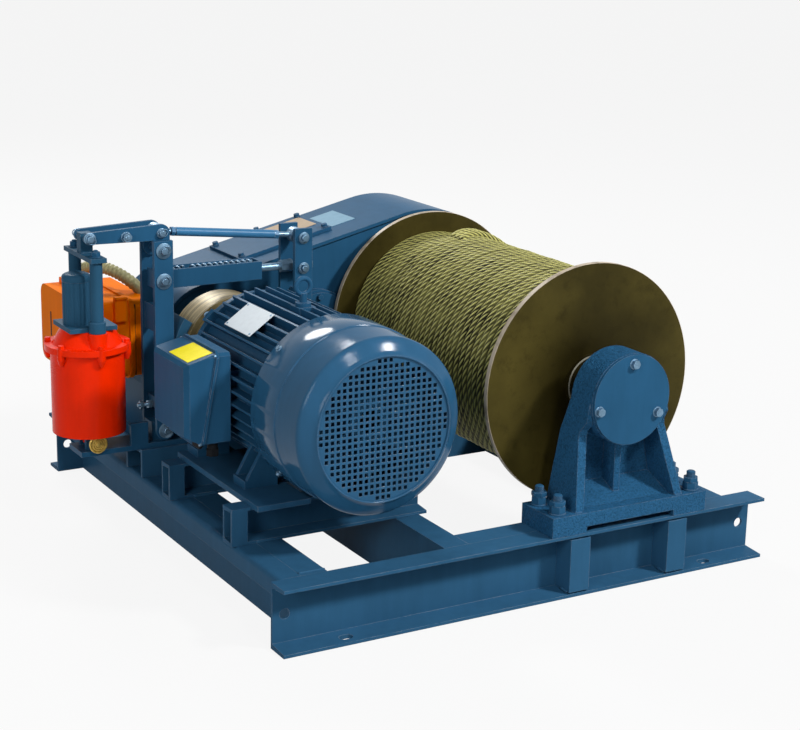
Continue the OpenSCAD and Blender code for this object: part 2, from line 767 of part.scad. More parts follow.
// Side view of the reducer: two circles and the two tangents between them
module reducer_outline(grow = 0) {
    big = big_r + grow;
    small = small_r + grow;
    run = drum_x - axis_x;
    tilt = asin((big - small) / run);
    low = grow < 0 ? 0.5 : 0;
    polygon([[axis_x - (small - low) * sin(tilt), shaft_h + (small - low) * cos(tilt)],
        [drum_x - (big - low) * sin(tilt), shaft_h + (big - low) * cos(tilt)],
        [drum_x - (big - low) * sin(tilt), shaft_h],
        [axis_x - (small - low) * sin(tilt), shaft_h]]);
    translate([drum_x, shaft_h]) circle(r = big, $fn = 120);
    translate([axis_x, shaft_h]) circle(r = small, $fn = 96);
}

// The part of that side view above the split
module upper_outline() {
    intersection() {
        reducer_outline();
        translate([-2 * frame_len, shaft_h]) square([4 * frame_len, frame_len]);
    }
}

// The walls inside the overhanging skin of the cover
module inner_outline() {
    intersection() {
        reducer_outline(-skin_t);
        translate([-2 * frame_len, shaft_h + split_t / 2]) square([4 * frame_len, frame_len]);
    }
}

module side_extrude(y, len) {
    translate([0, y + len, 0]) rotate([90, 0, 0]) linear_extrude(len) children();
}

// Openings for the input and output shafts
module shaft_bores() {
    along_y(axis_x, reducer_y - 60, shaft_h, input_r + pin_fit, 60 + shaft_entry + 1, 64);
    along_y(drum_x, reducer_y - 60, shaft_h, drum_shaft_r + pin_fit, 60 + shaft_entry + 1, 96);
}

// Round bosses that carry the bearings, on the front and rear walls
module bearing_bosses() {
    for (seat = bearing_seats)
        along_y(seat[0], reducer_y - split_over, shaft_h, seat[1], reducer_w + 2 * split_over, 96);
}

module above_split() {
    intersection() {
        children();
        translate([-frame_len, reducer_y - 100, shaft_h]) cube([2 * frame_len, reducer_w + 200, 500]);
    }
}

module below_split() {
    intersection() {
        children();
        translate([-frame_len, reducer_y - 100, shaft_h - 500]) cube([2 * frame_len, reducer_w + 200, 500]);
    }
}

module reducer_housing() color(blue)
    difference() {
        union() {
            side_extrude(reducer_y, reducer_w)
                difference() {
                    polygon([[reducer_left, shaft_h], [reducer_left, top_z + foot_t],
                        [reducer_right - 90, top_z + foot_t], [reducer_right, shaft_h - 60], [reducer_right, shaft_h]]);
                }
            translate([reducer_left - 10, reducer_y - 24, top_z])
                cube([reducer_right - reducer_left + 20, reducer_w + 48, foot_t]);
            translate([reducer_left, reducer_y - split_over, shaft_h - split_t])
                cube([reducer_right - reducer_left + split_over, reducer_w + 2 * split_over, split_t]);
            for (seat = bearing_seats)
                translate([seat[0] - 7, reducer_y - split_over, top_z + foot_t - 1])
                    cube([14, reducer_w + 2 * split_over, shaft_h - top_z - foot_t]);
            below_split() bearing_bosses();
        }
        shaft_bores();
    }

module reducer_cover() color(blue)
    difference() {
        union() {
            difference() {
                side_extrude(reducer_y - skin_over, reducer_w + 2 * skin_over) upper_outline();
                for (y = [reducer_y - 2 * skin_over, reducer_y + reducer_w])
                    side_extrude(y, 2 * skin_over) inner_outline();
            }
            translate([reducer_left, reducer_y - split_over, shaft_h])
                cube([reducer_right - reducer_left + split_over, reducer_w + 2 * split_over, split_t]);
            above_split() bearing_bosses();
        }
        shaft_bores();
    }

// Plate on the slope of the cover
module inspection_cover() color(blue) {
    tilt = asin((big_r - small_r) / (drum_x - axis_x));
    translate([axis_x - small_r * sin(tilt), reducer_y, shaft_h + small_r * cos(tilt)])
        rotate([0, -tilt, 0])
            translate([small_r + 11, (reducer_w - hatch_w) / 2 + 24, 0]) cube([hatch_len, hatch_w, 8]);
}

// Covers on the bearing bosses: open round the shafts in front, blind behind
module bearing_covers() color(blue)
    for (seat = bearing_seats) {
        difference() {
            along_y(seat[0], reducer_y - split_over - cover_t, shaft_h, seat[1] - 6, cover_t, 96);
            if (seat[2] > 0)
                along_y(seat[0], reducer_y - split_over - cover_t - 1, shaft_h, seat[2] + pin_fit, cover_t + 2, 64);
        }
        along_y(seat[0], reducer_y + reducer_w + split_over, shaft_h, seat[1] - 6, cover_t, 96);
    }

module switch_bracket() color(blue)
    translate([reducer_left - 12, reducer_y + 40, shaft_h - 120]) cube([12, 170, 100]);

// Rounded housing with a wider rim round its seam and a raised top
module switch_housing() color(orange)
    translate([reducer_left - 12, reducer_y + 10, shaft_h - housing_drop]) rotate([0, -90, 0]) {
        linear_extrude(housing_len) rounded_slab(housing_h, housing_w, 26);
        translate([0, 0, 44]) linear_extrude(12) translate([-4, -4]) rounded_slab(housing_h + 8, housing_w + 8, 30);
        translate([housing_h - 4, housing_w - 92, housing_len - 86]) cube([18, 62, 50]);
    }

module rounded_slab(w, h, r) {
    translate([r, 0]) square([w - 2 * r, h]);
    translate([0, r]) square([w, h - 2 * r]);
    for (x = [r, w - r], y = [r, h - r])
        translate([x, y]) circle(r = r, $fn = 48);
}

module brake_base() color(blue) {
    difference() {
        union() {
            translate([thruster_x - 34, brake_y - 40, brake_z]) cube([right_arm_x + 60 - thruster_x + 34, 80, base_t]);
            for (x = [left_arm_x, right_arm_x])
                translate([x - 26, brake_y - 22, brake_z + base_t - 1]) cube([52, 44, arm_pivot_h + 18]);
            for (side = [-1, 1])
                translate([thruster_x - 18, brake_y + side * 20 - 5, brake_z + base_t - 1]) cube([36, 10, 34]);
            translate([left_arm_x - 84, brake_y - 40, brake_z + base_t - 1]) cube([42, 8, 52]);
        }
        for (x = [left_arm_x, right_arm_x])
            along_y(x, brake_y - 60, pivot_z, pin_r + pin_fit, 120, 32);
    }
    along_y(thruster_x, brake_y - 28, lug_z, 7, 56, 32);
}

// One plate of a brake arm between its base pivot and its top, in side view
module arm_plate(x, top) {
    translate([x, pivot_z]) circle(r = arm_w / 2, $fn = 48);
    translate([x - arm_w / 2, pivot_z]) square([arm_w, top - pivot_z]);
}

// Pair of plates either side of the brake's middle plane
module plate_pair(gap, t) {
    side_extrude(brake_y - gap / 2 - t, t) children();
    side_extrude(brake_y + gap / 2, t) children();
}

module brake_pin(x, z, len) {
    along_y(x, brake_y - len / 2, z, pin_r, len, 32);
}

pin_len = arm_gap + 2 * arm_t + 16;

// Web between the two plates of an arm, and the block of its stop bolt near the foot
module arm_webs(x, side) {
    translate([x + side * 10 - 6, brake_y - arm_gap / 2, shaft_h + 58]) cube([12, arm_gap, 60]);
    translate([x - 12, brake_y - arm_gap / 2, shaft_h - 124]) cube([24, arm_gap, 26]);
}

module left_arm() color(blue) {
    plate_pair(arm_gap, arm_t)
        difference() {
            arm_plate(left_arm_x, lever_z + 22);
            translate([left_arm_x, lever_z]) circle(r = pin_r + pin_fit, $fn = 32);
        }
    for (z = [pivot_z, spring_z])
        brake_pin(left_arm_x, z, pin_len);
    arm_webs(left_arm_x, -1);
}

module right_arm() color(blue) {
    plate_pair(arm_gap, arm_t)
        difference() {
            arm_plate(right_arm_x, tie_z + 22);
            translate([right_arm_x, tie_z]) circle(r = pin_r + pin_fit, $fn = 32);
        }
    for (z = [pivot_z, spring_z])
        brake_pin(right_arm_x, z, pin_len);
    arm_webs(right_arm_x, 1);
}

// Arc round the wheel on one side, between two radii
module shoe_arc(side, width, inner, outer) {
    translate([axis_x, brake_y + width / 2, shaft_h]) rotate([90, 0, 0])
        linear_extrude(width)
            difference() {
                intersection() {
                    circle(r = outer, $fn = 120);
                    polygon([[0, 0], [side * 2 * wheel_r, 1.4 * wheel_r], [side * 2 * wheel_r, -1.4 * wheel_r]]);
                }
                circle(r = inner, $fn = 120);
            }
}

// Shoe with its narrower lining
module shoe(side) {
    inner = wheel_r + lining_gap;
    outer = arm_off - arm_w / 2;
    shoe_arc(side, 0.9 * wheel_w, inner + lining_t - 1, outer);
    shoe_arc(side, 0.78 * wheel_w, inner, inner + lining_t);
    x = axis_x + side * (arm_off - 12);
    translate([min(x, x - side * 20), brake_y - arm_gap / 2 + 0.3, shaft_h - 34])
        cube([20, arm_gap - 0.6, 68]);
}

module left_shoe() color(dark_blue) shoe(-1);

module right_shoe() color(dark_blue) shoe(1);

// Bell crank lever: two plates from the pivot to the tie rod pin and out to the thruster pin
module brake_lever() color(blue) {
    plate_pair(lever_gap, lever_t)
        difference() {
            union() {
                translate([left_arm_x, lever_z]) circle(r = 20, $fn = 48);
                translate([left_arm_x, lever_pin_z]) circle(r = 20, $fn = 48);
                translate([left_arm_x - 20, lever_z]) square([40, lever_rise]);
                polygon([[left_arm_x, lever_pin_z + 20], [thruster_x, lever_pin_z + 13],
                    [thruster_x, lever_pin_z - 13], [left_arm_x, lever_pin_z - 16]]);
                translate([thruster_x, lever_pin_z]) circle(r = 13, $fn = 48);
            }
            translate([thruster_x, lever_pin_z]) circle(r = 7 + open_fit, $fn = 32);
        }
    brake_pin(left_arm_x, lever_z, pin_len);
    brake_pin(left_arm_x, lever_pin_z, lever_gap + 2 * lever_t + 14);
    along_y((left_arm_x + thruster_x) / 2, brake_y - lever_gap / 2 - lever_t - 5, lever_pin_z - 2, 6, lever_gap + 2 * lever_t + 10, 32);
}

// Tie rod: an eye on the lever pin, a turnbuckle and an eye held by the right arm's pin
module tie_rod() color(blue) {
    dx = right_arm_x - left_arm_x;
    dz = tie_z - lever_pin_z;
    tilt = atan2(dz, dx);
    len = norm([dx, dz]);
    brake_pin(right_arm_x, tie_z, pin_len);
    translate([left_arm_x, brake_y, lever_pin_z]) rotate([0, -tilt, 0]) {
        difference() {
            rotate([-90, 0, 0]) translate([0, 0, -13]) cylinder(r = 18, h = 26, $fn = 48);
            rotate([-90, 0, 0]) translate([0, 0, -14]) cylinder(r = pin_r + open_fit, h = 28, $fn = 32);
        }
        translate([len, 0, 0]) rotate([-90, 0, 0]) translate([0, 0, -13]) cylinder(r = 18, h = 26, $fn = 48);
        translate([16, 0, 0]) rotate([0, 90, 0]) cylinder(r = 6.5, h = len - 32, $fn = 32);
        translate([46, 0, 0]) rotate([0, 90, 0]) cylinder(r = 9.5, h = len - 96, $fn = 32);
    }
}

tube_left = left_arm_x - 12;
tube_right = right_arm_x - 98;
tube_h = 42;
tube_w = 50;
tube_t = 5;

// Trough round the brake spring, pinned to the left arm, closed at its ends and open on top
module spring_tube() color(blue)
    difference() {
        translate([tube_left, brake_y - tube_w / 2, spring_z - tube_h / 2]) cube([tube_right - tube_left, tube_w, tube_h]);
        translate([left_arm_x + 30, brake_y - tube_w / 2 + tube_t, spring_z - tube_h / 2 + tube_t])
            cube([tube_right - left_arm_x - 30 - tube_t, tube_w - 2 * tube_t, tube_h - 2 * tube_t]);
        translate([left_arm_x + 30, brake_y - tube_w / 2 + tube_t, spring_z])
            cube([tube_right - left_arm_x - 30 - tube_t, tube_w - 2 * tube_t, tube_h]);
        translate([tube_right - tube_t - 1, brake_y, spring_z]) rotate([0, 90, 0]) cylinder(r = 13, h = tube_t + 2, $fn = 32);
        along_y(left_arm_x, brake_y - tube_w, spring_z, pin_r + pin_fit, 2 * tube_w, 32);
    }

// Spring rod of the right arm, with its plate inside the tube
module spring_rod() color(zinc) {
    translate([left_arm_x + 70, brake_y, spring_z]) rotate([0, 90, 0])
        cylinder(r = 9, h = right_arm_x - left_arm_x - 70 - pin_r, $fn = 32);
    translate([right_arm_x - 40, brake_y, spring_z]) rotate([0, 90, 0]) cylinder(r = 15, h = 30, $fn = 6);
    translate([left_arm_x + 70, brake_y, spring_z]) rotate([0, 90, 0]) cylinder(r = 13, h = 8, $fn = 32);
    translate([right_arm_x + pin_r, brake_y, spring_z]) rotate([0, 90, 0]) cylinder(r = 9, h = 30, $fn = 32);
    translate([right_arm_x + pin_r + 20, brake_y, spring_z]) rotate([0, 90, 0]) cylinder(r = 14, h = 12, $fn = 6);
}

module thruster_body() color(red)
    translate([thruster_x, brake_y, thruster_z]) {
        cylinder(r = thruster_r, h = thruster_h - 14, $fn = 96);
        translate([0, 0, thruster_h - 14]) cylinder(r = thruster_r + 12, h = 14, $fn = 96);
        translate([0, 0, thruster_h]) cylinder(r1 = thruster_r - 4, r2 = thruster_r - 24, h = cone_h, $fn = 96);
        for (side = [-1, 1])
            translate([0, side * rod_off, thruster_h - 1]) cylinder(r = rod_r + 7, h = cone_h + 1, $fn = 48);
        for (a = [30 : 60 : 330])
            rotate([0, 0, a]) translate([thruster_r + 6, 0, thruster_h - 38]) {
                cylinder(r1 = 4, r2 = 9, h = 14, $fn = 24);
                translate([0, 0, 14]) cylinder(r = 9, h = 24, $fn = 24);
            }
        difference() {
            translate([-12, -13, lug_z - thruster_z - 12]) cube([24, 26, thruster_z - lug_z + 13]);
            translate([0, -20, lug_z - thruster_z]) rotate([-90, 0, 0]) cylinder(r = 7 + pin_fit, h = 40, $fn = 32);
        }
    }

module thruster_motor() color(dark_blue)
    difference() {
        translate([thruster_x, brake_y, thruster_z + thruster_h + cone_h]) {
            translate([-58, -55, 0]) cube([108, 110, 10]);
            translate([-thruster_motor_off, 0, 0]) {
                cylinder(r = thruster_motor_r, h = 116, $fn = 64);
                translate([0, 0, 116]) cylinder(r1 = thruster_motor_r, r2 = thruster_motor_r - 9, h = 8, $fn = 64);
            }
        }
        for (side = [-1, 1])
            translate([thruster_x, brake_y + side * rod_off, thruster_z + thruster_h + cone_h - 1])
                cylinder(r = rod_r + 0.6, h = 20, $fn = 32);
    }

// Yoke on two push rods, with the ear that lifts the lever
module thruster_yoke() color(dark_blue) {
    z0 = thruster_z + thruster_h + cone_h + 0.3;
    yoke_z = lever_pin_z - 44;
    for (side = [-1, 1])
        translate([thruster_x, brake_y + side * rod_off, z0]) cylinder(r = rod_r, h = yoke_z - z0 + 1, $fn = 32);
    translate([thruster_x - 18, brake_y - rod_off - 20, yoke_z]) cube([36, 2 * rod_off + 40, 10]);
    translate([thruster_x - 14, brake_y - 12, yoke_z + 9]) cube([28, 24, 45]);
    along_y(thruster_x, brake_y - lever_gap / 2 - lever_t - 8, lever_pin_z, 7, lever_gap + 2 * lever_t + 16, 32);
}

front_channel();
rear_channel();
left_beam();
shelf_angle();
middle_beam();
right_beam();
pedestal_beam();
reducer_beams();
pedestal_posts();
motor_cross_members();
motor_rails();
brake_stand();
bearing_pedestal();
pedestal_cap();
pedestal_studs();
drum_shell();
near_flange();
far_flange();
rope_winding();
drum_shaft();
motor_body();
end_shields();
fan_cowl();
cooling_fan();
terminal_box();
lifting_eye();
motor_shaft();
brake_wheel();
input_shaft();
reducer_housing();
reducer_cover();
inspection_cover();
bearing_covers();
switch_bracket();
switch_housing();
brake_base();
left_arm();
right_arm();
left_shoe();
right_shoe();
brake_lever();
tie_rod();
spring_tube();
spring_rod();
thruster_body();
thruster_motor();
thruster_yoke();
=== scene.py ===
"""Dresses the electric winch: paint, rope, grille, fasteners, welds, plates and a plain studio round it."""

import math

import bpy
import numpy as np
from mathutils import Matrix, Vector


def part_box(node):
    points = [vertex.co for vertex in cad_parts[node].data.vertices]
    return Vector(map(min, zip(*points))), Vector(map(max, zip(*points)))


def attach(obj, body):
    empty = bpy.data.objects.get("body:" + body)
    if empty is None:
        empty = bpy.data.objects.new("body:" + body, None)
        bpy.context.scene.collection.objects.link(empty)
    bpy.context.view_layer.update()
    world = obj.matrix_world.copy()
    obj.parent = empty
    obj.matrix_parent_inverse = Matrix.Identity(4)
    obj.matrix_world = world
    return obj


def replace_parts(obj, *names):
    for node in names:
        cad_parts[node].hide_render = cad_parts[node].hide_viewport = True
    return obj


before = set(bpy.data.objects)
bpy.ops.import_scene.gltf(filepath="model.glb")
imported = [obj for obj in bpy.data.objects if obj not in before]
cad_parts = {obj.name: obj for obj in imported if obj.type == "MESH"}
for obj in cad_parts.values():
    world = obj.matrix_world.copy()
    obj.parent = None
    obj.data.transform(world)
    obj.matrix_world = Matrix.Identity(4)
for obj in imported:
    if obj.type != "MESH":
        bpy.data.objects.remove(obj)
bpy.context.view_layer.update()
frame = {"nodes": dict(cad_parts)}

bl_info = {
    "name": "Electric winch",
    "version": (1, 0, 0),
    "blender": (4, 5, 0),
    "location": "View3D > Sidebar > Winch",
    "description": "Surfaces, rope and fasteners of a base-mounted electric winch",
    "category": "Object",
}

X_AXIS, Y_AXIS, Z_AXIS = np.eye(3)
UP, FRONT = Z_AXIS, -Y_AXIS
ORIGIN = (0, 0, 0)
TURN = 2 * np.pi

# Places shared with the solids, in metres. An axis along Y is given by its X and Z.
DRUM_AXIS = (0.226, 0.412)
MOTOR_AXIS = (-0.348, 0.412)
FRAME_TOP = 0.140
WEB_Y = -0.612
LEFT_BEAM_X, MIDDLE_BEAM_X, RIGHT_BEAM_X = (-0.534, -0.476), (-0.205, -0.147), 0.524
COWL_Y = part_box("fan_cowl")[0].y
COWL_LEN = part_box("fan_cowl")[1].y - COWL_Y
BRAKE_Y = 0.132
ARM_FACE_Y, LEVER_FACE_Y = BRAKE_Y - 0.043, BRAKE_Y - 0.032
LEFT_ARM_X, RIGHT_ARM_X = -0.522, -0.174
ARM_FOOT_Z, SPRING_Z, LEVER_Z, TIE_Z, LEVER_PIN_Z = 0.243, 0.589, 0.658, 0.660, 0.696
THRUSTER_X, ROD_OFF = -0.689, 0.066
REDUCER_FRONT, REDUCER_REAR = 0.230, 0.480
REDUCER_SMALL_R, REDUCER_LARGE_R = 0.130, 0.265
SLOPE = math.asin((REDUCER_LARGE_R - REDUCER_SMALL_R) / (DRUM_AXIS[0] - MOTOR_AXIS[0]))

# How much further the corners of a hexagon reach than its flats, whole and cut by a chamfer
CORNER, CHAMFERED = 1.155, 1.10


# Shapes


def square_axes(axis):
    """Unit vectors u, v and axis, right-handed: u is square to the axis and v is axis cross u."""
    axis = np.asarray(axis, float)
    axis = axis / np.linalg.norm(axis)
    helper = X_AXIS if abs(axis[0]) < 0.9 else Y_AXIS
    u = helper - axis * (helper @ axis)
    u /= np.linalg.norm(u)
    return u, np.cross(axis, u), axis


class Shape:
    """Gathers closed surfaces into one mesh."""

    def __init__(self):
        self.points, self.quads, self.tris, self.uvs, self.count = [], [], [], [], 0

    def grid(self, points, loop_rows=False):
        """Adds points on rows by columns. Each row is a closed ring that turns left-handed about the way the
        rows advance, seen from outside. The last row joins the first if loop_rows, and otherwise each end is
        closed by a fan from its middle."""
        points = np.asarray(points, float)
        rows, cols = points.shape[:2]
        index = self.count + np.arange(rows * cols).reshape(rows, cols)
        low = index if loop_rows else index[:-1]
        high = np.roll(index, -1, 0) if loop_rows else index[1:]
        quads = np.stack([low, np.roll(low, -1, 1), np.roll(high, -1, 1), high], -1).reshape(-1, 4)
        self.quads.append(quads)
        self.points.append(points.reshape(-1, 3))
        self.count += rows * cols
        if not loop_rows:
            first, last = index[0], index[-1]
            start, stop = np.full(cols, self.count), np.full(cols, self.count + 1)
            self.tris.append(np.stack([start, np.roll(first, -1), first], -1))
            self.tris.append(np.stack([stop, last, np.roll(last, -1)], -1))
            self.points.append(np.stack([points[0].mean(0), points[-1].mean(0)]))
            self.count += 2
        return self

    def copies(self, other, places, axes, turns):
        """Another shape, drawn upright at the origin, set at each place with its Z along each axis and turned
        about it."""
        points = np.concatenate(other.points)
        for place, axis, turn in zip(places, axes, turns):
            u, v, w = square_axes(axis)
            side = math.cos(turn) * u + math.sin(turn) * v
            self.points.append(points @ np.stack([side, np.cross(w, side), w]) + np.asarray(place, float))
            self.quads += [q + self.count for q in other.quads]
            self.tris += [t + self.count for t in other.tris]
            self.count += len(points)
        return self

    def drawn(self, name, look, sharp=28.0):
        """The gathered surfaces as one object with that finish, sharp at edges that bend more than sharp."""
        quads = np.concatenate(self.quads)
        tris = np.concatenate(self.tris) if self.tris else np.zeros((0, 3), int)
        used, corners = np.unique(np.concatenate([quads.ravel(), tris.ravel()]), return_inverse=True)
        points = np.concatenate(self.points)[used].astype(np.float32)
        mesh = bpy.data.meshes.new(name)
        mesh.vertices.add(len(points))
        mesh.vertices.foreach_set("co", points.ravel())
        mesh.loops.add(len(corners))
        mesh.loops.foreach_set("vertex_index", corners.ravel().astype(np.int32))
        starts = np.concatenate([np.arange(len(quads)) * 4, 4 * len(quads) + np.arange(len(tris)) * 3])
        mesh.polygons.add(len(starts))
        mesh.polygons.foreach_set("loop_start", starts.astype(np.int32))
        if self.uvs:
            layer = mesh.uv_layers.new(name="along")
            uvs = np.concatenate(self.uvs)[used][corners.ravel()]
            layer.data.foreach_set("uv", uvs.astype(np.float32).ravel())
        mesh.update(calc_edges=True)
        mesh.validate()
        mesh.shade_smooth()
        mesh.set_sharp_from_angle(angle=math.radians(sharp))
        mesh.materials.append(finish(look))
        made = bpy.data.objects.new(name, mesh)
        bpy.context.scene.collection.objects.link(made)
        return made

    def piece(self, name, body, look, sharp=28.0, slot=None):
        """The gathered surfaces as a piece that rides on a body. The slot is looked up but not used."""
        made = self.drawn(name, look, sharp)
        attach(made, body)
        slot = slot or SLOTS.get(look)
        return made


def turned(profile, origin, axis, segments=32, hexagon=None):
    """Rows of a turned form: each (radius, height) of the profile goes once round the axis at the origin.
    A row with a share in hexagon is six-sided instead: its radius is half the distance across flats, and the
    share times the radius cuts its corners."""
    u, v, w = square_axes(axis)
    angle = np.linspace(0, TURN, segments, endpoint=False)
    profile = np.asarray(profile, float)
    radius = np.repeat(profile[:, :1], segments, 1)
    if hexagon is not None:
        six = 1 / np.cos(np.mod(angle, np.pi / 3) - np.pi / 6)
        share = np.asarray(hexagon, float)[:, None]
        radius = np.where(share > 0, np.minimum(radius * six, radius * share), radius)
    ring = np.cos(angle)[:, None] * u + np.sin(angle)[:, None] * v
    return np.asarray(origin) + radius[..., None] * ring + profile[:, 1, None, None] * w


def swept(path, section, guide, scale=None):
    """Rows of a section carried along a path. The section's first coordinate lies along the guide where that
    is square to the path, and its second completes a right-handed set with the direction of travel."""
    path = np.asarray(path, float)
    ahead = np.gradient(path, axis=0)
    ahead /= np.linalg.norm(ahead, axis=1, keepdims=True)
    guide = np.broadcast_to(np.asarray(guide, float), path.shape)
    first = guide - ahead * (guide * ahead).sum(1, keepdims=True)
    first /= np.linalg.norm(first, axis=1, keepdims=True)
    second = np.cross(ahead, first)
    across, up = np.asarray(section, float).T[..., None]
    grow = np.ones(len(path)) if scale is None else scale
    return path[:, None] + grow[:, None, None] * (across * first[:, None] + up * second[:, None])


def round_section(radius, sides=12):
    """A circle as a section."""
    a = np.linspace(0, TURN, sides, endpoint=False)
    return radius * np.stack([np.cos(a), np.sin(a)], 1)


def six_strands(radius, off):
    """How far a rope of six strands reaches, by the angle away from the middle of the nearest strand."""
    return radius * (2 / 3 * np.cos(off) + np.sqrt(np.clip(1 / 9 - 4 / 9 * np.sin(off) ** 2, 0, 1)))


def from_strand(angle):
    """The angle away from the middle of the nearest of six strands."""
    return np.mod(angle, np.pi / 3) - np.pi / 6


def slab(centre, along, across, half, bevel=0.0008):
    """Rows of a flat block with bevelled edges: half holds its half length along, across and through."""
    through = np.cross(along, across)
    a, b, c = half
    corner = np.array([[1, 1], [-1, 1], [-1, -1], [1, -1]], float)
    cut = 1.5 * bevel
    upper, lower = corner * [a, b - cut], corner * [a - cut, b]
    ring = np.stack([upper[0], lower[0], lower[1], upper[1], upper[2], lower[2], lower[3], upper[3]])
    shrink = ring * [(a - bevel) / a, (b - bevel) / b]
    rows = [(shrink, -c), (ring, -c + bevel), (ring, c - bevel), (shrink, c)]
    return np.stack([centre + r[:, :1] * along + r[:, 1:] * across + h * through for r, h in rows])


def bead(start, stop, size):
    """Rows of a weld bead: a round section whose size ripples as it goes along a straight seam."""
    start, stop = np.asarray(start, float), np.asarray(stop, float)
    length = np.linalg.norm(stop - start)
    t = np.linspace(0, 1, max(6, int(length / 0.003)))
    ripple = np.ones(len(t))
    for depth, waves, shift in ((0.12, 900, 0), (0.10, 217, 1), (0.07, 61, 2)):
        ripple += depth * np.sin(t * length * waves + shift)
    ripple[[0, -1]] *= 0.6
    u, _, _ = square_axes(stop - start)
    return swept(start + t[:, None] * (stop - start), round_section(size, 8), u, ripple)


def hex_head(flats, height, washer=0.0, washer_t=0.0025, stud=0.0, stud_r=0.0, round_head=False):
    """A fastener drawn upright on its seat: washer, chamfered six-sided head, and the end of its thread."""
    shape, base = Shape(), 0.0
    if washer > 0:
        rim = 0.0006
        rows = [(washer - rim, 0), (washer, rim), (washer, washer_t - rim), (washer - rim, washer_t)]
        shape.grid(turned(rows, ORIGIN, UP, 24))
        base = washer_t
    r = flats / 2
    six = [0] * 6 if round_head else [0, CHAMFERED, CORNER, CORNER, 1.08, 0]
    shares = ((0.55, 0), (1, 0), (1, 0.12), (1, 0.86), (1, 1), (0.8, 1))
    shape.grid(turned([(a * r, base + b * height) for a, b in shares], ORIGIN, UP, 24, six))
    if stud > 0:
        pitch, sunk = 0.0022, 0.002
        z = np.linspace(0, stud, 2 * max(3, int(stud / pitch)) + 1)
        ridge = np.where(np.arange(len(z)) % 2 == 0, stud_r, 0.88 * stud_r)
        ridge[-1] = 0.7 * stud_r
        shape.grid(turned(np.stack([ridge, base + height - sunk + z], 1), ORIGIN, UP, 16))
    return shape


def bolts(name, body, look, places, axis, head):
    """One piece with a fastener at each place."""
    axes = np.broadcast_to(np.asarray(axis, float), (len(places), 3))
    turns = (np.arange(len(places)) * 0.37) % 1.0
    return Shape().copies(head, places, axes, turns).piece(name, body, look, 30)


def ring_places(axis, radius, angles, y):
    """Places on a circle about an axis along Y."""
    return [(axis[0] + radius * math.cos(a), y, axis[1] + radius * math.sin(a)) for a in angles]


# Materials


class Num:
    """A number that varies over a surface. The operators on it add Math nodes."""

    def __init__(self, nodes, socket):
        self.nodes, self.socket = nodes, socket

    def math(self, operation, *values):
        return self.nodes.number("ShaderNodeMath", dict(enumerate(values)), operation=operation)

    def __add__(self, other):
        return self.math("ADD", self, other)

    def __sub__(self, other):
        return self.math("SUBTRACT", self, other)

    def __rsub__(self, other):
        return self.math("SUBTRACT", other, self)

    def __mul__(self, other):
        return self.math("MULTIPLY", self, other)

    def __lt__(self, other):
        return self.math("LESS_THAN", self, other)

    def sine(self):
        return self.math("SINE", self)

    def clip(self):
        return self.nodes.number("ShaderNodeClamp", {"Value": self})

    def between(self, low, high):
        """0 below low, 1 above high and even in between."""
        return ((self - low) * (1 / (high - low))).clip()


class Nodes:
    """A node tree and the ways to add to it."""

    def __init__(self, tree):
        self.tree = tree

    def put(self, socket, value):
        """Sets a socket to a value, or links it where the value is a Num or a socket."""
        if isinstance(value, Num):
            value = value.socket
        if isinstance(value, bpy.types.NodeSocket):
            self.tree.links.new(value, socket)
        else:
            socket.default_value = value

    def node(self, kind, values=None, **settings):
        """A node of that kind with its settings, and with values or links at its sockets."""
        node = self.tree.nodes.new(kind)
        for key, value in settings.items():
            setattr(node, key, value)
        for key, value in (values or {}).items():
            self.put(node.inputs[key], value)
        return node

    def number(self, kind, values=None, output=0, **settings):
        return Num(self, self.node(kind, values, **settings).outputs[output])

    def seen_directly(self):
        """1 for rays from the camera, off a gloss or through glass, and 0 for the light on things."""
        path = self.node("ShaderNodeLightPath").outputs
        rays = [Num(self, path[f"Is {kind} Ray"]) for kind in ("Camera", "Glossy", "Transmission")]
        return (rays[0] + rays[1] + rays[2]).clip()


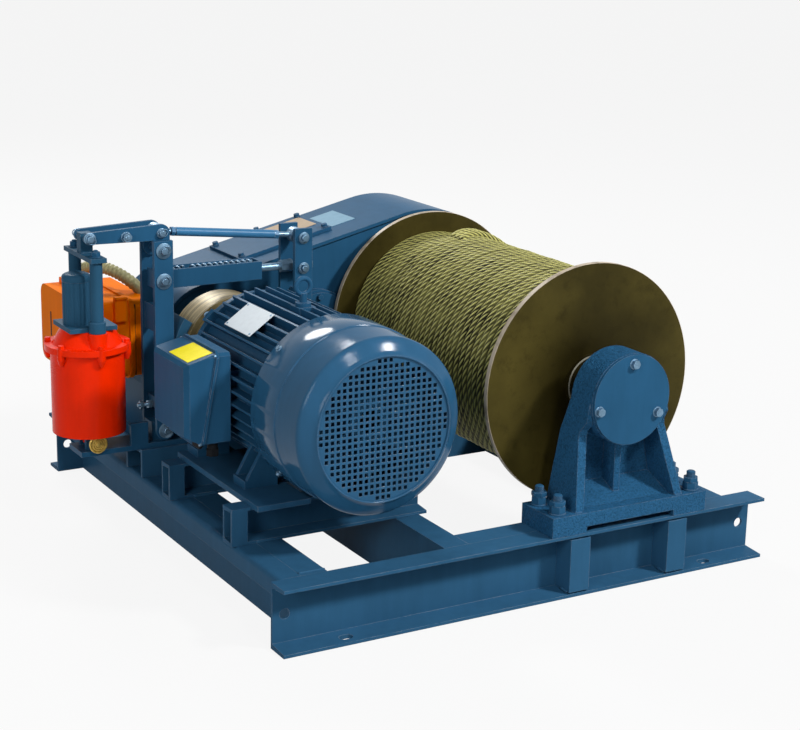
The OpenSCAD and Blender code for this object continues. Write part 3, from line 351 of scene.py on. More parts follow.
class Finish(Nodes):
    """A material and the nodes that make it."""

    def __init__(self, name):
        self.material = bpy.data.materials.new(name)
        self.material.use_nodes = True
        super().__init__(self.material.node_tree)
        self.shader = self.first("BSDF_PRINCIPLED")

    def first(self, kind):
        return next(n for n in self.tree.nodes if n.type == kind)

    def set(self, **values):
        """Values of the shader's own sockets, by name with underscores for spaces."""
        for key, value in values.items():
            self.put(self.shader.inputs[key.replace("_", " ")], value)
        return self

    def colour(self):
        """What the shader's colour is linked to so far."""
        return self.shader.inputs["Base Color"].links[0].from_socket

    def place(self):
        return self.node("ShaderNodeTexCoord").outputs["Object"]

    def axis(self, which):
        """One coordinate of the place."""
        return self.number("ShaderNodeSeparateXYZ", {0: self.place()}, "XYZ".index(which))

    def noise(self, scale, detail=3.0, rough=0.55, stretch=None):
        where = self.place()
        if stretch is not None:
            where = self.node("ShaderNodeMapping", {"Vector": where, "Scale": stretch}).outputs[0]
        values = {"Vector": where, "Scale": scale, "Detail": detail, "Roughness": rough}
        return self.number("ShaderNodeTexNoise", values)

    def mix(self, share, *colours):
        """Colour that goes from the first to the second as share goes from 0 to 1."""
        first, second = ((*c, 1) if isinstance(c, tuple) else c for c in colours)
        return self.node("ShaderNodeMix", {0: share, 6: first, 7: second}, data_type="RGBA").outputs[2]

    def relief(self, height, depth, under=None):
        """Normal of a height over the surface, or over another normal."""
        values = {"Height": height, "Distance": depth, "Strength": 1.0}
        if under is not None:
            values["Normal"] = under
        return self.node("ShaderNodeBump", values).outputs[0]

    def rounded(self, radius):
        """Normal that is rounded over the edges, and a number that is 0 on flat faces and rises on edges."""
        soft = self.node("ShaderNodeBevel", {"Radius": radius}, samples=4).outputs[0]
        plain = self.node("ShaderNodeNewGeometry").outputs["Normal"]
        dot = self.node("ShaderNodeVectorMath", {0: soft, 1: plain}, operation="DOT_PRODUCT").outputs["Value"]
        return soft, (1 - Num(self, dot)).clip()


def shade(colour, factor):
    return tuple(min(1.0, c * factor) for c in colour)


def colour_of(name):
    return tuple(getattr(bpy.context.scene.winch_colours, name))


def size_of(name):
    return getattr(bpy.context.scene.winch_sizes, name)


def painted(name, colour, rough=0.34, radius=0.0016, grain=0.0, grain_scale=260.0, wear=0.5, gloss=0.4,
            bare=None):
    """Paint on metal: broad uneven patches, faint runs, edges rubbed pale, a fine skin and, on castings, sand
    grain with dark pores."""
    f = Finish(name)
    soft, edge = f.rounded(radius)
    patches = f.noise(5.5, 4.0)
    fine = f.noise(240.0, 2.0)
    runs = f.noise(9.0, 3.0, 0.6, (5.0, 5.0, 0.6))
    broad = (patches * 0.6 + runs * 0.4).between(0.32, 0.68)
    tone = f.mix(broad, shade(colour, 0.86), shade(colour, 1.10))
    tone = f.mix(fine.between(0.66, 0.80) * 0.22, tone, shade(colour, 0.55))
    rubbed = (edge * 6.0).clip() * f.noise(38.0, 5.0, 0.7).between(0.35, 0.62) * wear
    tone = f.mix(rubbed, tone, bare or tuple(0.35 * c + 0.42 for c in colour))
    skin = f.noise(520.0, 2.0) * 0.25 + f.noise(38.0, 2.0) * 0.5
    normal = f.relief(skin, 0.00025, soft)
    if grain > 0:
        sand = f.noise(grain_scale, 4.0, 0.65)
        normal = f.relief(sand + f.noise(grain_scale * 0.35, 3.0) * 0.9, grain, normal)
        pores = (1 - sand.between(0.40, 0.52)) * min(0.5, 120 * grain)
        tone = f.mix(pores, tone, shade(colour, 0.3))
    sheen = (patches * 0.16 + fine * 0.06 + (rough - 0.11)).clip()
    return f.set(Base_Color=tone, Roughness=sheen, Normal=normal, Specular_IOR_Level=gloss)


def plated(name, colour, rough=0.32, metallic=0.85):
    """Zinc plate or bare metal: fine brushing, smears of oil and dull patches."""
    f = Finish(name)
    soft, edge = f.rounded(0.0008)
    smear = f.noise(90.0, 4.0, 0.7)
    brush = f.noise(60.0, 3.0, 0.6, (1.0, 14.0, 14.0))
    tone = f.mix(smear.between(0.3, 0.7), shade(colour, 0.66), shade(colour, 1.12))
    f.set(Base_Color=f.mix((edge * 5.0).clip() * 0.4, tone, shade(colour, 1.4)), Metallic=metallic)
    return f.set(Roughness=(smear * 0.25 + (rough - 0.1)).clip(), Normal=f.relief(brush, 0.00018, soft))


def winding_finish():
    """Greased wire rope, from the winding's own map: painted shade in the hollows between strands and turns,
    painted highlights on the wires at the crowns, and darker greasy patches.
    """
    f = Finish("rope wire")
    uv = f.node("ShaderNodeUVMap", uv_map="along").outputs[0]
    along, crown = (f.number("ShaderNodeSeparateXYZ", {0: uv}, n) for n in (0, 1))
    wires = (along * 1800.0 + crown * 9.0).sine()
    grease = f.noise(14.0, 4.0, 0.6)
    base = colour_of("rope")
    # Painted shade: the colour falls to near black away from the crowns, in the hollows between strands and
    # turns.
    tone = f.mix(crown.between(0.58, 0.99), shade(base, 0.015), base)
    tone = f.mix(grease.between(0.35, 0.75) * 0.5, tone, shade(base, 0.55))
    # Painted highlight: the wires on the crowns are lightened to half again the rope's colour.
    tone = f.mix((wires * 0.5 + 0.5) * crown.between(0.6, 1.0) * 0.4, tone, shade(base, 1.5))
    f.set(Base_Color=tone, Metallic=0.1, Roughness=(grease * 0.2 + 0.30).clip(), Specular_IOR_Level=0.12)
    return f.set(Normal=f.relief(wires, 0.0004))


def flange_finish():
    """Drum flange: dark oiled steel with brown patches, fine turning marks, a bright worn rim, painted shade
    in noisy patches round the hub, and a pale ring near the hub."""
    f = Finish("drum flange")
    soft, _ = f.rounded(0.0012)
    x, z = f.axis("X") - DRUM_AXIS[0], f.axis("Z") - DRUM_AXIS[1]
    reach = f.number("ShaderNodeMath", {0: x * x + z * z}, operation="SQRT")
    patch = f.noise(3.2, 5.0, 0.62)
    base = colour_of("drum")
    tone = f.mix(patch.between(0.36, 0.64), shade(base, 0.55), shade(base, 1.2))
    tone = f.mix(f.noise(22.0, 5.0, 0.7).between(0.52, 0.7) * 0.5, tone, shade(base, 0.35))
    rim = reach.between(0.2638, 0.2644) * (f.noise(30.0, 4.0).between(0.25, 0.5) * 0.75 + 0.25)
    tone = f.mix(rim, tone, colour_of("rim"))
    # Painted shade: noisy dark patches within about 0.215 m of the axis, where the pedestal's boss shades the
    # flange.
    tone = f.mix((1 - reach.between(0.085, 0.215)) * patch.between(0.2, 0.5) * 0.85, tone, shade(base, 0.10))
    ring = reach.between(0.0590, 0.0600) * (1 - reach.between(0.0634, 0.0638))
    f.set(Base_Color=f.mix(ring * 0.8, tone, (0.30, 0.29, 0.24)), Specular_IOR_Level=0.05)
    marks = (reach * 5200.0 + patch * 9.0).sine() * 0.5 + f.noise(160.0, 3.0) * 0.8
    return f.set(Roughness=(patch * 0.3 + 0.22).clip(), Normal=f.relief(marks, 0.0001, soft))


def wheel_finish():
    """Brake wheel: turned iron with a polished, oily rim."""
    f = Finish("brake wheel")
    soft, edge = f.rounded(0.0015)
    rings = f.noise(7.0, 3.0, 0.6, (1.0, 60.0, 1.0))
    base = colour_of("wheel")
    tone = f.mix(rings.between(0.38, 0.62), shade(base, 0.42), shade(base, 1.5))
    tone = f.mix((edge * 5.0).clip() * 0.5, tone, shade(base, 1.7))
    f.set(Base_Color=tone, Metallic=0.25, Roughness=(rings * 0.2 + 0.28).clip(), Specular_IOR_Level=0.2)
    return f.set(Normal=f.relief(rings, 0.0003, soft))


def boxed_finish():
    """Machine paint on the terminal box, with its gland in black plastic below."""
    f = painted("terminal box paint", colour_of("machine"), gloss=0.02)
    gland = (1 - f.axis("Z").between(0.3165, 0.3175)) * (f.axis("Y") < -0.225)
    return f.set(Base_Color=f.mix(gland, f.colour(), BLACK))


def sheet_finish(name, colour, rough, metallic=0.0):
    """Thin plate left bare: faint grain and scuffs."""
    f = Finish(name)
    scuff = f.noise(60.0, 5.0, 0.7)
    grain = f.noise(300.0, 2.0, 0.5, (0.2, 1.0, 1.0))
    tone = f.mix(scuff.between(0.45, 0.75) * 0.35, colour, shade(colour, 0.72))
    f.set(Base_Color=tone, Roughness=(scuff * 0.2 + rough - 0.1).clip(), Metallic=metallic)
    return f.set(Specular_IOR_Level=0.05, Normal=f.relief(grain, 0.00005))


def floor_finish():
    """Studio floor: it looks near white and takes soft shadows, but throws little light up on the winch."""
    f = Finish("studio floor")
    lamp = f.node("ShaderNodeEmission", {"Color": (1, 1, 1, 1), "Strength": 1.0}).outputs[0]
    matt = f.node("ShaderNodeBsdfDiffuse", {"Color": (0.54, 0.54, 0.54, 1)}).outputs[0]
    both = f.node("ShaderNodeMixShader", {0: f.seen_directly() * 0.90, 1: matt, 2: lamp}).outputs[0]
    f.put(f.first("OUTPUT_MATERIAL").inputs[0], both)
    return f


def enamel(name, part, rough=0.34, **rest):
    """One of the painted finishes whose colour is the scene's colour for that part."""
    return painted(name, colour_of(part), rough, **rest)


BLACK = (0.012, 0.013, 0.015)
RUBBED_RED, RUBBED_ORANGE = (0.85, 0.22, 0.08), (0.9, 0.5, 0.15)

FINISHES = {
    "frame": lambda: enamel("frame paint", "frame", 0.42, gloss=0.02),
    "machine": lambda: enamel("machine paint", "machine", wear=0.4, gloss=0.03),
    "gloss": lambda: enamel("cowl paint", "machine", 0.12, wear=0.3, gloss=0.11),
    "dark": lambda: enamel("dark paint", "dark", 0.38, wear=0.4, gloss=0.03),
    "cast": lambda: enamel("casting paint", "cast", 0.5, grain=0.0040, grain_scale=230.0, wear=0.35,
                           radius=0.003, gloss=0.03),
    "red": lambda: enamel("red enamel", "red", 0.26, grain=0.0002, grain_scale=90.0, wear=0.12, gloss=0.08,
                          radius=0.0022, bare=RUBBED_RED),
    "orange": lambda: enamel("orange enamel", "orange", 0.40, wear=0.2, gloss=0.008, radius=0.003,
                             bare=RUBBED_ORANGE),
    "zinc": lambda: plated("zinc plate", colour_of("zinc"), 0.32, 0.6),
    "pale_blue": lambda: painted("pale blue paint", tuple(1.9 * c for c in colour_of("machine")), 0.35,
                                 wear=0.3, gloss=0.2),
    "shaft": lambda: plated("ground steel", (0.22, 0.22, 0.20), 0.30, 0.6),
    "brass": lambda: plated("brass", (0.62, 0.42, 0.10), 0.30, 0.9),
    "drum": flange_finish,
    "wheel": wheel_finish,
    "rope": winding_finish,
    "box": boxed_finish,
    "white": lambda: sheet_finish("pale plate", (0.66, 0.72, 0.76), 0.35, 0.1),
    "beige": lambda: sheet_finish("beige plate", (0.46, 0.35, 0.24), 0.5),
    "pale": lambda: sheet_finish("pale blue sheet", (0.20, 0.36, 0.48), 0.45),
    "yellow": lambda: sheet_finish("yellow sheet", (0.95, 0.80, 0.0), 0.5),
    "black": lambda: sheet_finish("black plastic", BLACK, 0.55),
    "sleeve": lambda: plated("ribbed sleeve", (0.30, 0.28, 0.13), 0.5, 0.1),
    "floor": floor_finish,
}

# The slot of a finish, where a piece with that finish has one
SLOTS = {
    "frame": "frame_paint", "pale_blue": "frame_paint", "machine": "machine_paint", "gloss": "machine_paint",
    "dark": "dark_paint", "zinc": "zinc", "white": "zinc", "brass": "zinc", "red": "thruster_red",
    "orange": "housing_orange", "rope": "rope_steel",
}

NODE_FINISHES = {
    "frame": ["front_channel", "rear_channel", "left_beam", "shelf_angle", "middle_beam", "right_beam",
              "pedestal_beam", "reducer_beams", "pedestal_posts", "motor_cross_members", "motor_rails",
              "brake_stand", "switch_bracket"],
    "machine": ["motor_body", "end_shields", "lifting_eye", "reducer_cover", "inspection_cover",
                "bearing_covers", "brake_base", "left_arm", "right_arm", "brake_lever", "spring_tube",
                "reducer_housing", "pedestal_cap"],
    "cast": ["bearing_pedestal"],
    "dark": ["thruster_motor", "thruster_yoke", "left_shoe", "right_shoe"],
    "zinc": ["tie_rod", "spring_rod", "pedestal_studs"],
    "shaft": ["drum_shaft", "motor_shaft", "input_shaft"],
    "drum": ["drum_shell", "near_flange", "far_flange"],
    "wheel": ["brake_wheel"],
    "box": ["terminal_box"],
    "red": ["thruster_body"],
    "orange": ["switch_housing"],
}

_made = {}


def finish(name):
    """The material of that name, made once."""
    if name not in _made:
        _made[name] = FINISHES[name]().material
    return _made[name]


def dress(*names):
    """Gives the solids of those finishes their material."""
    for name in names:
        for node in NODE_FINISHES[name]:
            solid = frame["nodes"][node]
            solid.data.materials.clear()
            solid.data.materials.append(finish(name))


# Sizes and colours


def colour(name, description, default):
    settings = {"default": default, "subtype": "COLOR", "min": 0.0, "max": 1.0}
    return bpy.props.FloatVectorProperty(name=name, description=description, **settings)


def length(name, description, default):
    settings = {"default": default, "unit": "LENGTH", "min": 0.0005, "max": 3.0}
    return bpy.props.FloatProperty(name=name, description=description, **settings)


def count(name, description, default):
    return bpy.props.IntProperty(name=name, description=description, default=default, min=10, max=60)


class WinchColours(bpy.types.PropertyGroup):
    """Paint and metal colours of the winch."""

    frame: colour("Frame paint", "Blue enamel on the base frame", (0.026, 0.097, 0.186))
    machine: colour("Machine paint", "Blue enamel on the motor, brake and reducer", (0.020, 0.091, 0.183))
    cast: colour("Casting paint", "Blue enamel on the sand castings", (0.024, 0.114, 0.236))
    dark: colour("Dark paint", "Blue-grey enamel on the thruster's motor and shoes", (0.024, 0.088, 0.158))
    red: colour("Thruster red", "Gloss red enamel of the thruster body", (0.88, 0.023, 0.000))
    orange: colour("Housing orange", "Orange enamel of the switch housing", (1.00, 0.205, 0.001))
    zinc: colour("Zinc", "Zinc plate on pins, washers and rods", (0.16, 0.28, 0.40))
    drum: colour("Drum steel", "Dark oiled steel of the drum flanges", (0.062, 0.049, 0.011))
    rim: colour("Flange rim", "Worn rim of the drum flanges", (0.50, 0.42, 0.32))
    wheel: colour("Brake wheel", "Machined iron of the brake wheel", (0.24, 0.19, 0.09))
    rope: colour("Rope", "Greased wire rope", (0.64, 0.61, 0.19))


class WinchSizes(bpy.types.PropertyGroup):
    """Sizes of the fine parts of the winch."""

    rope_d: length("Rope diameter", "Diameter of the wire rope", 0.0195)
    rope_turns: count("Rope turns", "Turns of rope side by side on the drum", 34)
    rope_lay: length("Rope lay", "Length of rope in which a strand goes once round", 0.104)
    hole_pitch: length("Grille pitch", "Distance between the holes of the fan grille", 0.0128)
    hole: length("Grille hole", "Width of a hole of the fan grille", 0.0080)
    weld: length("Weld bead", "Radius of the weld beads", 0.0035)


class Builder:
    """What the operators share: each dresses its solids and makes its pieces, or stops on an error."""

    bl_options = {"REGISTER", "UNDO"}
    dresses, makes = (), ()

    def execute(self, context):
        dress(*self.dresses)
        for make in self.makes:
            make()
        return {"FINISHED"}


# Frame and pedestal


def frame_welds():
    """Beads where the beams, posts and stands meet the channels."""
    size, welds = size_of("weld"), Shape()

    def across(x, y, z, share=1.0):
        welds.grid(bead((x[0], y, z), (x[1], y, z), share * size))

    for x in (LEFT_BEAM_X[0], *MIDDLE_BEAM_X, RIGHT_BEAM_X):
        welds.grid(bead((x, WEB_Y, 0.012), (x, WEB_Y, FRAME_TOP - 0.010), size))
    for y in (-0.409, -0.090):
        for x in (LEFT_BEAM_X, MIDDLE_BEAM_X):
            across(x, y, FRAME_TOP + 0.0015)
    post_off, post_half, post_front, post_rear = 0.129, 0.025, -0.662, -0.640
    for x in (s * post_off + e * post_half for s in (-1, 1) for e in (-1, 1)):
        x += DRUM_AXIS[0]
        welds.grid(bead((x, post_rear, 0.0125), (x, post_front, 0.0105), 0.8 * size))
    stand_end = -0.150
    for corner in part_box("brake_stand"):
        for x in (LEFT_BEAM_X, (MIDDLE_BEAM_X[0], stand_end)):
            across(x, corner.y, FRAME_TOP + 0.0015)
    across(LEFT_BEAM_X, -0.600, FRAME_TOP + 0.0005, 0.8)
    welds.piece("frame_welds", "root", "frame", 60)


class WINCH_OT_frame(Builder, bpy.types.Operator):
    """Paints the base frame and welds its joints"""

    bl_idname = "winch.frame"
    bl_label = "Base frame"
    dresses, makes = ("frame",), (frame_welds,)


def pedestal_nuts():
    """A nut with its locknut on each stud of the pedestal's foot."""
    stud_x, stud_y, foot_z = 0.177, 0.034, 0.185
    double = Shape().copies(hex_head(0.030, 0.016, 0.0185, 0.003), [ORIGIN], [UP], [0])
    double.copies(hex_head(0.030, 0.010, stud=0.016, stud_r=0.010), [(0, 0, 0.019)], [UP], [0.4])
    places = [(DRUM_AXIS[0] + a * stud_x, WEB_Y + b * stud_y, foot_z) for a in (-1, 1) for b in (-1, 1)]
    nuts = Shape().copies(double, places, [UP] * 4, [0.2, 0.9, 0.5, 0.1])
    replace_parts(nuts.piece("pedestal_nuts", "root", "machine", 30, "dark_paint"), "pedestal_studs")


def cap_bolts():
    """Three bolts at uneven angles and distances on the pedestal's cap."""
    cap_r, cap_y = 0.098, -0.652
    turns = ((90, 0.80), (190, 0.88), (333, 0.78))
    seats = [ring_places(DRUM_AXIS, cap_r * share, [math.radians(a)], cap_y)[0] for a, share in turns]
    bolts("cap_bolts", "root", "zinc", seats, FRONT, hex_head(0.0172, 0.0085, 0.0115, 0.0015))


class WINCH_OT_pedestal(Builder, bpy.types.Operator):
    """Finishes the bearing pedestal, its studs and its cap"""

    bl_idname = "winch.pedestal"
    bl_label = "Bearing pedestal"
    dresses, makes = ("cast",), (pedestal_nuts, cap_bolts)


# Rope and drum


def rope_measures():
    """The winding's ends along Y, its pitch, and the radii of the rope and of the lower layer's middle."""
    lo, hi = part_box("rope_winding")
    pitch = (hi.y - lo.y) / size_of("rope_turns")
    radius = min(size_of("rope_d"), pitch) / 2
    return lo.y, hi.y, pitch, radius, 0.2167 - radius


def rope_layers():
    """The winding is one surface over the drum. Across a turn, a point goes over a half circle of rope; along
    it, the circle's radius swells and sinks with the six strands that wind about the rope. The turns lean
    slowly forwards and step back in one narrow zone, where the rope crosses, and a whole further layer lifts
    the near part. Three pieces share the surface, each closed by a ring at its ends, inside the rope."""
    near, far, pitch, radius, low_r = rope_measures()
    turns, across, steps = size_of("rope_turns"), 13, 480
    half_arc, cross_at, zone = math.radians(78), math.radians(196), 0.26
    phi = np.linspace(0, TURN, steps, endpoint=False)[None]
    turn = np.repeat(np.arange(turns), across)[:, None]
    alpha = np.tile(np.linspace(-half_arc, half_arc, across), turns)[:, None]

    gap = np.mod(phi - cross_at + np.pi, TURN) - np.pi
    back = np.sin(gap / zone * np.pi / 2)
    forth = np.sign(gap) * (np.pi - np.abs(gap)) / (np.pi - zone)
    lean = -0.45 * np.where(np.abs(gap) < zone, back, forth)
    ends = np.clip(np.minimum(turn, turns - 1 - turn) / 1.5, 0, 1)
    y = near + pitch * (turn + 0.5 + 0.5 * np.sin(alpha) / math.sin(half_arc) + lean * ends)

    layer_end, layer_run, layer_h = 0.012 + 0.045 * np.sin(phi) + 0.036 * np.cos(phi), 0.012, 0.0150
    step = np.clip((layer_end - y) / layer_run + 0.5, 0, 1)
    layer = layer_h * step * step * (3 - 2 * step)
    rise = 0.0022 * np.exp(-((gap / 0.16) ** 2)) * (step > 0.5)
    slack = 0.0006 * np.sin(turn * 2.3) + 0.0005 * np.sin(turn * 5.1 + phi * 2)
    run_r = low_r + 0.007
    strands = round(TURN * run_r / size_of("rope_lay"))
    off = from_strand(alpha - phi * strands)
    reach = low_r + layer + rise + slack + six_strands(radius, off) * np.cos(alpha)
    rows = np.stack([DRUM_AXIS[0] + reach * np.cos(phi), y, DRUM_AXIS[1] + reach * np.sin(phi)], -1)[:, ::-1]
    # How near each point is to the crown of its turn and strand. The rope's finish uses it to paint shade in
    # the hollows and highlights on the crowns.
    crown = np.cos(alpha) ** 0.7 * (1 - (off / (np.pi / 6)) ** 2)
    marks = np.stack([phi * run_r + turn * 0.013, crown], -1)[:, ::-1]

    inner_r, third, back_round = 0.175, (turns // 3 + 1) * across, phi[0, ::-1]
    x, z = DRUM_AXIS[0] + inner_r * np.cos(back_round), DRUM_AXIS[1] + inner_r * np.sin(back_round)
    for n, name in enumerate(("rope_near", "rope_middle", "rope_far")):
        part, uv = rows[n * third:(n + 1) * third], marks[n * third:(n + 1) * third]
        first, last = (np.column_stack([x, np.clip(row[:, 1], near, far), z]) for row in part[[0, -1]])
        shape = Shape().grid(np.concatenate([[first], part, [last]]), loop_rows=True)
        shape.uvs.append(np.pad(uv, ((1, 1), (0, 0), (0, 0))).reshape(-1, 2))
        piece = shape.piece(name, "drum", "rope", 80)
        if n == 0:
            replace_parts(piece, "rope_winding")


def rope_crossing():
    """Three turns of rope side by side that swing towards the far flange and back, each a six-stranded
    surface along its path."""
    *_, radius, low_r = rope_measures()
    sides, steps, run = 36, 90, 0.29
    around = np.linspace(0, TURN, sides, endpoint=False)
    t = np.linspace(0, 1, steps)
    turn, swing = np.radians(20 + 75 * t), np.sin(np.pi * t)
    centre_r = low_r + radius + 0.0085 + 0.010 * swing
    out = np.stack([np.cos(turn), np.zeros(steps), np.sin(turn)], 1)
    off = from_strand(around - TURN * t[:, None] * run / size_of("rope_lay"))
    reach = six_strands(radius, off)[..., None]
    # The second coordinate is how near each point is to a strand's crown. The finish uses it to paint shade
    # and highlights.
    marks = np.stack([np.repeat(t[:, None] * run, sides, 1), 1 - (off / (np.pi / 6)) ** 2], -1).reshape(-1, 2)
    ropes = Shape()
    for k in range(3):
        y = 0.046 + 0.064 * swing ** 0.8 - 0.018 * k
        middle = [DRUM_AXIS[0] + centre_r * np.cos(turn), y, DRUM_AXIS[1] + centre_r * np.sin(turn)]
        path = np.stack(middle, 1)
        way = np.gradient(path, axis=0)
        way /= np.linalg.norm(way, axis=1, keepdims=True)
        side = np.cross(way, out)
        ring = np.cos(around)[:, None] * out[:, None] + np.sin(around)[:, None] * side[:, None]
        ropes.grid(path[:, None] + reach * ring)
        ropes.uvs += [marks, np.zeros((2, 2))]
    ropes.piece("rope_crossing", "drum", "rope", 80)


class WINCH_OT_rope(Builder, bpy.types.Operator):
    """Winds the wire rope on the drum"""

    bl_idname = "winch.rope"
    bl_label = "Rope winding"
    makes = (rope_layers, rope_crossing)


class WINCH_OT_drum(Builder, bpy.types.Operator):
    """Finishes the drum flanges and shaft"""

    bl_idname = "winch.drum"
    bl_label = "Drum"
    dresses = ("drum", "shaft")


# Motor


def cowl_shell():
    """A profile turned about the shaft: a rolled lip, the cone, a bead round the barrel, and the inside."""
    bead_y = 0.1140
    outer = [(0.1478, 0.0045), (0.1478, 0.0016), (0.1486, 0.0004), (0.1500, 0.0), (0.1514, 0.0005)]
    outer += [(0.1522, 0.0019), (0.1530, 0.0034), (0.1600, 0.0080), (0.1700, 0.0140), (0.1790, 0.0200)]
    outer += [(0.1820, 0.0226), (0.1838, 0.0252), (0.1845, 0.0290), (0.1845, bead_y)]
    outer += [(0.1849, bead_y + 0.0012), (0.1860, bead_y + 0.0020), (0.1871, bead_y + 0.0026)]
    outer += [(0.1875, bead_y + 0.0040), (0.1875, COWL_LEN - 0.0008), (0.1870, COWL_LEN)]
    inner = [(0.1848, COWL_LEN), (0.1845, bead_y + 0.0060), (0.1815, bead_y + 0.0040), (0.1815, 0.0300)]
    inner += [(0.1790, 0.0255), (0.1530, 0.0085), (0.1478, 0.0070)]
    front = (MOTOR_AXIS[0], COWL_Y, MOTOR_AXIS[1])
    shell = Shape().grid(turned(outer + inner, front, Y_AXIS, 144), loop_rows=True)
    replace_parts(shell.piece("cowl_shell", "root", "gloss", 32), "fan_cowl")


def cowl_grille():
    """A sheet on a grid of lines at the edges of its square holes. Points beyond its rim are drawn in to it,
    the squares that are holes are left out, and their four walls join the front to the back."""
    pitch, hole = size_of("hole_pitch"), size_of("hole")
    rim, holed_r, faces = 0.1495, 0.1465, (0.0040, 0.0058)
    reach = int(0.162 / pitch)
    lines = np.sort(np.concatenate([np.arange(-reach, reach + 1) * pitch + s * hole / 2 for s in (-1, 1)]))
    n = len(lines)
    middle = (lines[:-1] + lines[1:]) / 2
    cx, cz = np.meshgrid(middle, middle, indexing="ij")
    i, j = np.meshgrid(np.arange(n - 1), np.arange(n - 1), indexing="ij")
    inside = np.minimum(np.abs(lines[:-1]), np.abs(lines[1:]))
    nearest = np.hypot(inside[i], inside[j])
    far_corner = np.hypot(np.abs(cx) + hole / 2, np.abs(cz) + hole / 2)
    solid = ~((i % 2 == 0) & (j % 2 == 0) & (far_corner < holed_r)) & (nearest < rim - 0.0005)
    gx, gz = np.meshgrid(lines, lines, indexing="ij")
    drawn_in = np.minimum(1.0, rim / np.maximum(np.hypot(gx, gz), 0.001))
    x, z = MOTOR_AXIS[0] + gx * drawn_in, MOTOR_AXIS[1] + gz * drawn_in
    sheet = Shape()
    sheet.points += [np.stack([x, np.full_like(x, COWL_Y + depth), z], -1).reshape(-1, 3) for depth in faces]
    a, b = i[solid], j[solid]
    face = np.stack([a * n + b, (a + 1) * n + b, (a + 1) * n + b + 1, a * n + b + 1], -1)
    sheet.quads += [face, face[:, ::-1] + n * n]
    grown = np.pad(solid, 1)
    walls = ((-1, 0, (0, 1), (0, 0)), (1, 0, (1, 0), (1, 1)), (0, -1, (0, 0), (1, 0)), (0, 1, (1, 1), (0, 1)))
    for di, dj, first, second in walls:
        edge = solid & ~grown[1 + di:n + di, 1 + dj:n + dj]
        a, b = i[edge], j[edge]
        p, q = ((a + step[0]) * n + b + step[1] for step in (first, second))
        sheet.quads.append(np.stack([q, p, p + n * n, q + n * n], -1))
    sheet.piece("cowl_grille", "root", "gloss")


def fan_wheel():
    """A turned hub and disc with seven blades that curve about the shaft."""
    blades, steps, blade_y = 7, 8, 0.032
    centre = (MOTOR_AXIS[0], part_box("cooling_fan")[0].y, MOTOR_AXIS[1])
    hub = [(0.030, 0), (0.044, 0.002), (0.046, 0.010), (0.050, 0.050), (0.140, 0.056), (0.142, 0.060)]
    fan = Shape().grid(turned([*hub, (0.030, 0.060)], centre, Y_AXIS, 48))
    reach = np.linspace(0.040, 0.140, steps)
    section = [(-0.027, -0.014), (-0.027, -0.010), (0.027, 0.014), (0.027, 0.010)]
    for k in range(blades):
        turn = TURN * k / blades + reach * 3.0
        path = [reach * np.cos(turn), np.full(steps, blade_y), reach * np.sin(turn)]
        fan.grid(swept(np.stack(path, 1) + centre, section, Y_AXIS))
    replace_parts(fan.piece("fan_wheel", "rotor", "machine", 30, "dark_paint"), "cooling_fan")


class WINCH_OT_cowl(Builder, bpy.types.Operator):
    """Presses the fan cowl with its punched grille and makes the fan behind it"""

    bl_idname = "winch.cowl"
    bl_label = "Fan cowl and fan"
    makes = (cowl_shell, cowl_grille, fan_wheel)


def motor_plate():
    """A bare plate on the fins, with a rivet in each corner."""
    tilt = math.radians(35)
    out = np.array([-math.sin(tilt), 0, math.cos(tilt)])
    side = np.array([math.cos(tilt), 0, math.sin(tilt)])
    centre = np.array([MOTOR_AXIS[0], -0.199, MOTOR_AXIS[1]]) + out * 0.1775
    Shape().grid(slab(centre, Y_AXIS, side, (0.062, 0.036, 0.0010))).piece("motor_plate", "root", "white")
    corners = [centre + a * 0.055 * Y_AXIS + b * 0.030 * side + out * 0.001 for a in (-1, 1) for b in (-1, 1)]
    rivet = Shape().grid(turned([(0.0025, 0), (0.0024, 0.0008), (0.0016, 0.0014)], ORIGIN, UP, 12))
    bolts("motor_plate_rivets", "root", "zinc", corners, out, rivet)


def motor_bolts():
    """Bolts of the feet and the end shield, and the screws that hold the cowl."""
    foot_x, foot_z = 0.140, 0.250
    feet = [(MOTOR_AXIS[0] + s * foot_x, y, foot_z) for s in (-1, 1) for y in (-0.310, -0.069)]
    head = hex_head(0.022, 0.012, 0.014, stud=0.010, stud_r=0.0068)
    bolts("foot_bolts", "root", "dark", feet, UP, head)
    ring = np.radians([45, 135, 225, 315])
    seats = ring_places(MOTOR_AXIS, 0.166, ring, -0.023)
    bolts("shield_bolts", "root", "zinc", seats, Y_AXIS, hex_head(0.013, 0.007, 0.009, 0.0018))
    seats = ring_places(MOTOR_AXIS, 0.1872, ring, COWL_Y + 0.205)
    outwards = [np.array([math.cos(a), 0, math.sin(a)]) for a in ring]
    screw = hex_head(0.010, 0.0035, 0.0075, 0.0012, round_head=True)
    Shape().copies(screw, seats, outwards, [0] * 4).piece("cowl_screws", "root", "zinc", 30)


class WINCH_OT_motor(Builder, bpy.types.Operator):
    """Paints the motor and adds its plate, foot bolts and shield bolts"""

    bl_idname = "winch.motor"
    bl_label = "Motor"
    dresses, makes = ("machine",), (motor_plate, motor_bolts)


def yellow_sheet():
    """A bare sheet on the sloping top of the terminal box."""
    slope = math.atan2(0.511 - 0.494, 0.620 - 0.554)
    along = np.array([math.cos(slope), 0, math.sin(slope)])
    centre = np.array([-0.5875, -0.206, 0.5025]) + np.cross(along, Y_AXIS) * 0.0005
    sheet = Shape().grid(slab(centre, along, Y_AXIS, (0.029, 0.049, 0.0004), 0.0003))
    sheet.piece("yellow_sheet", "root", "yellow")


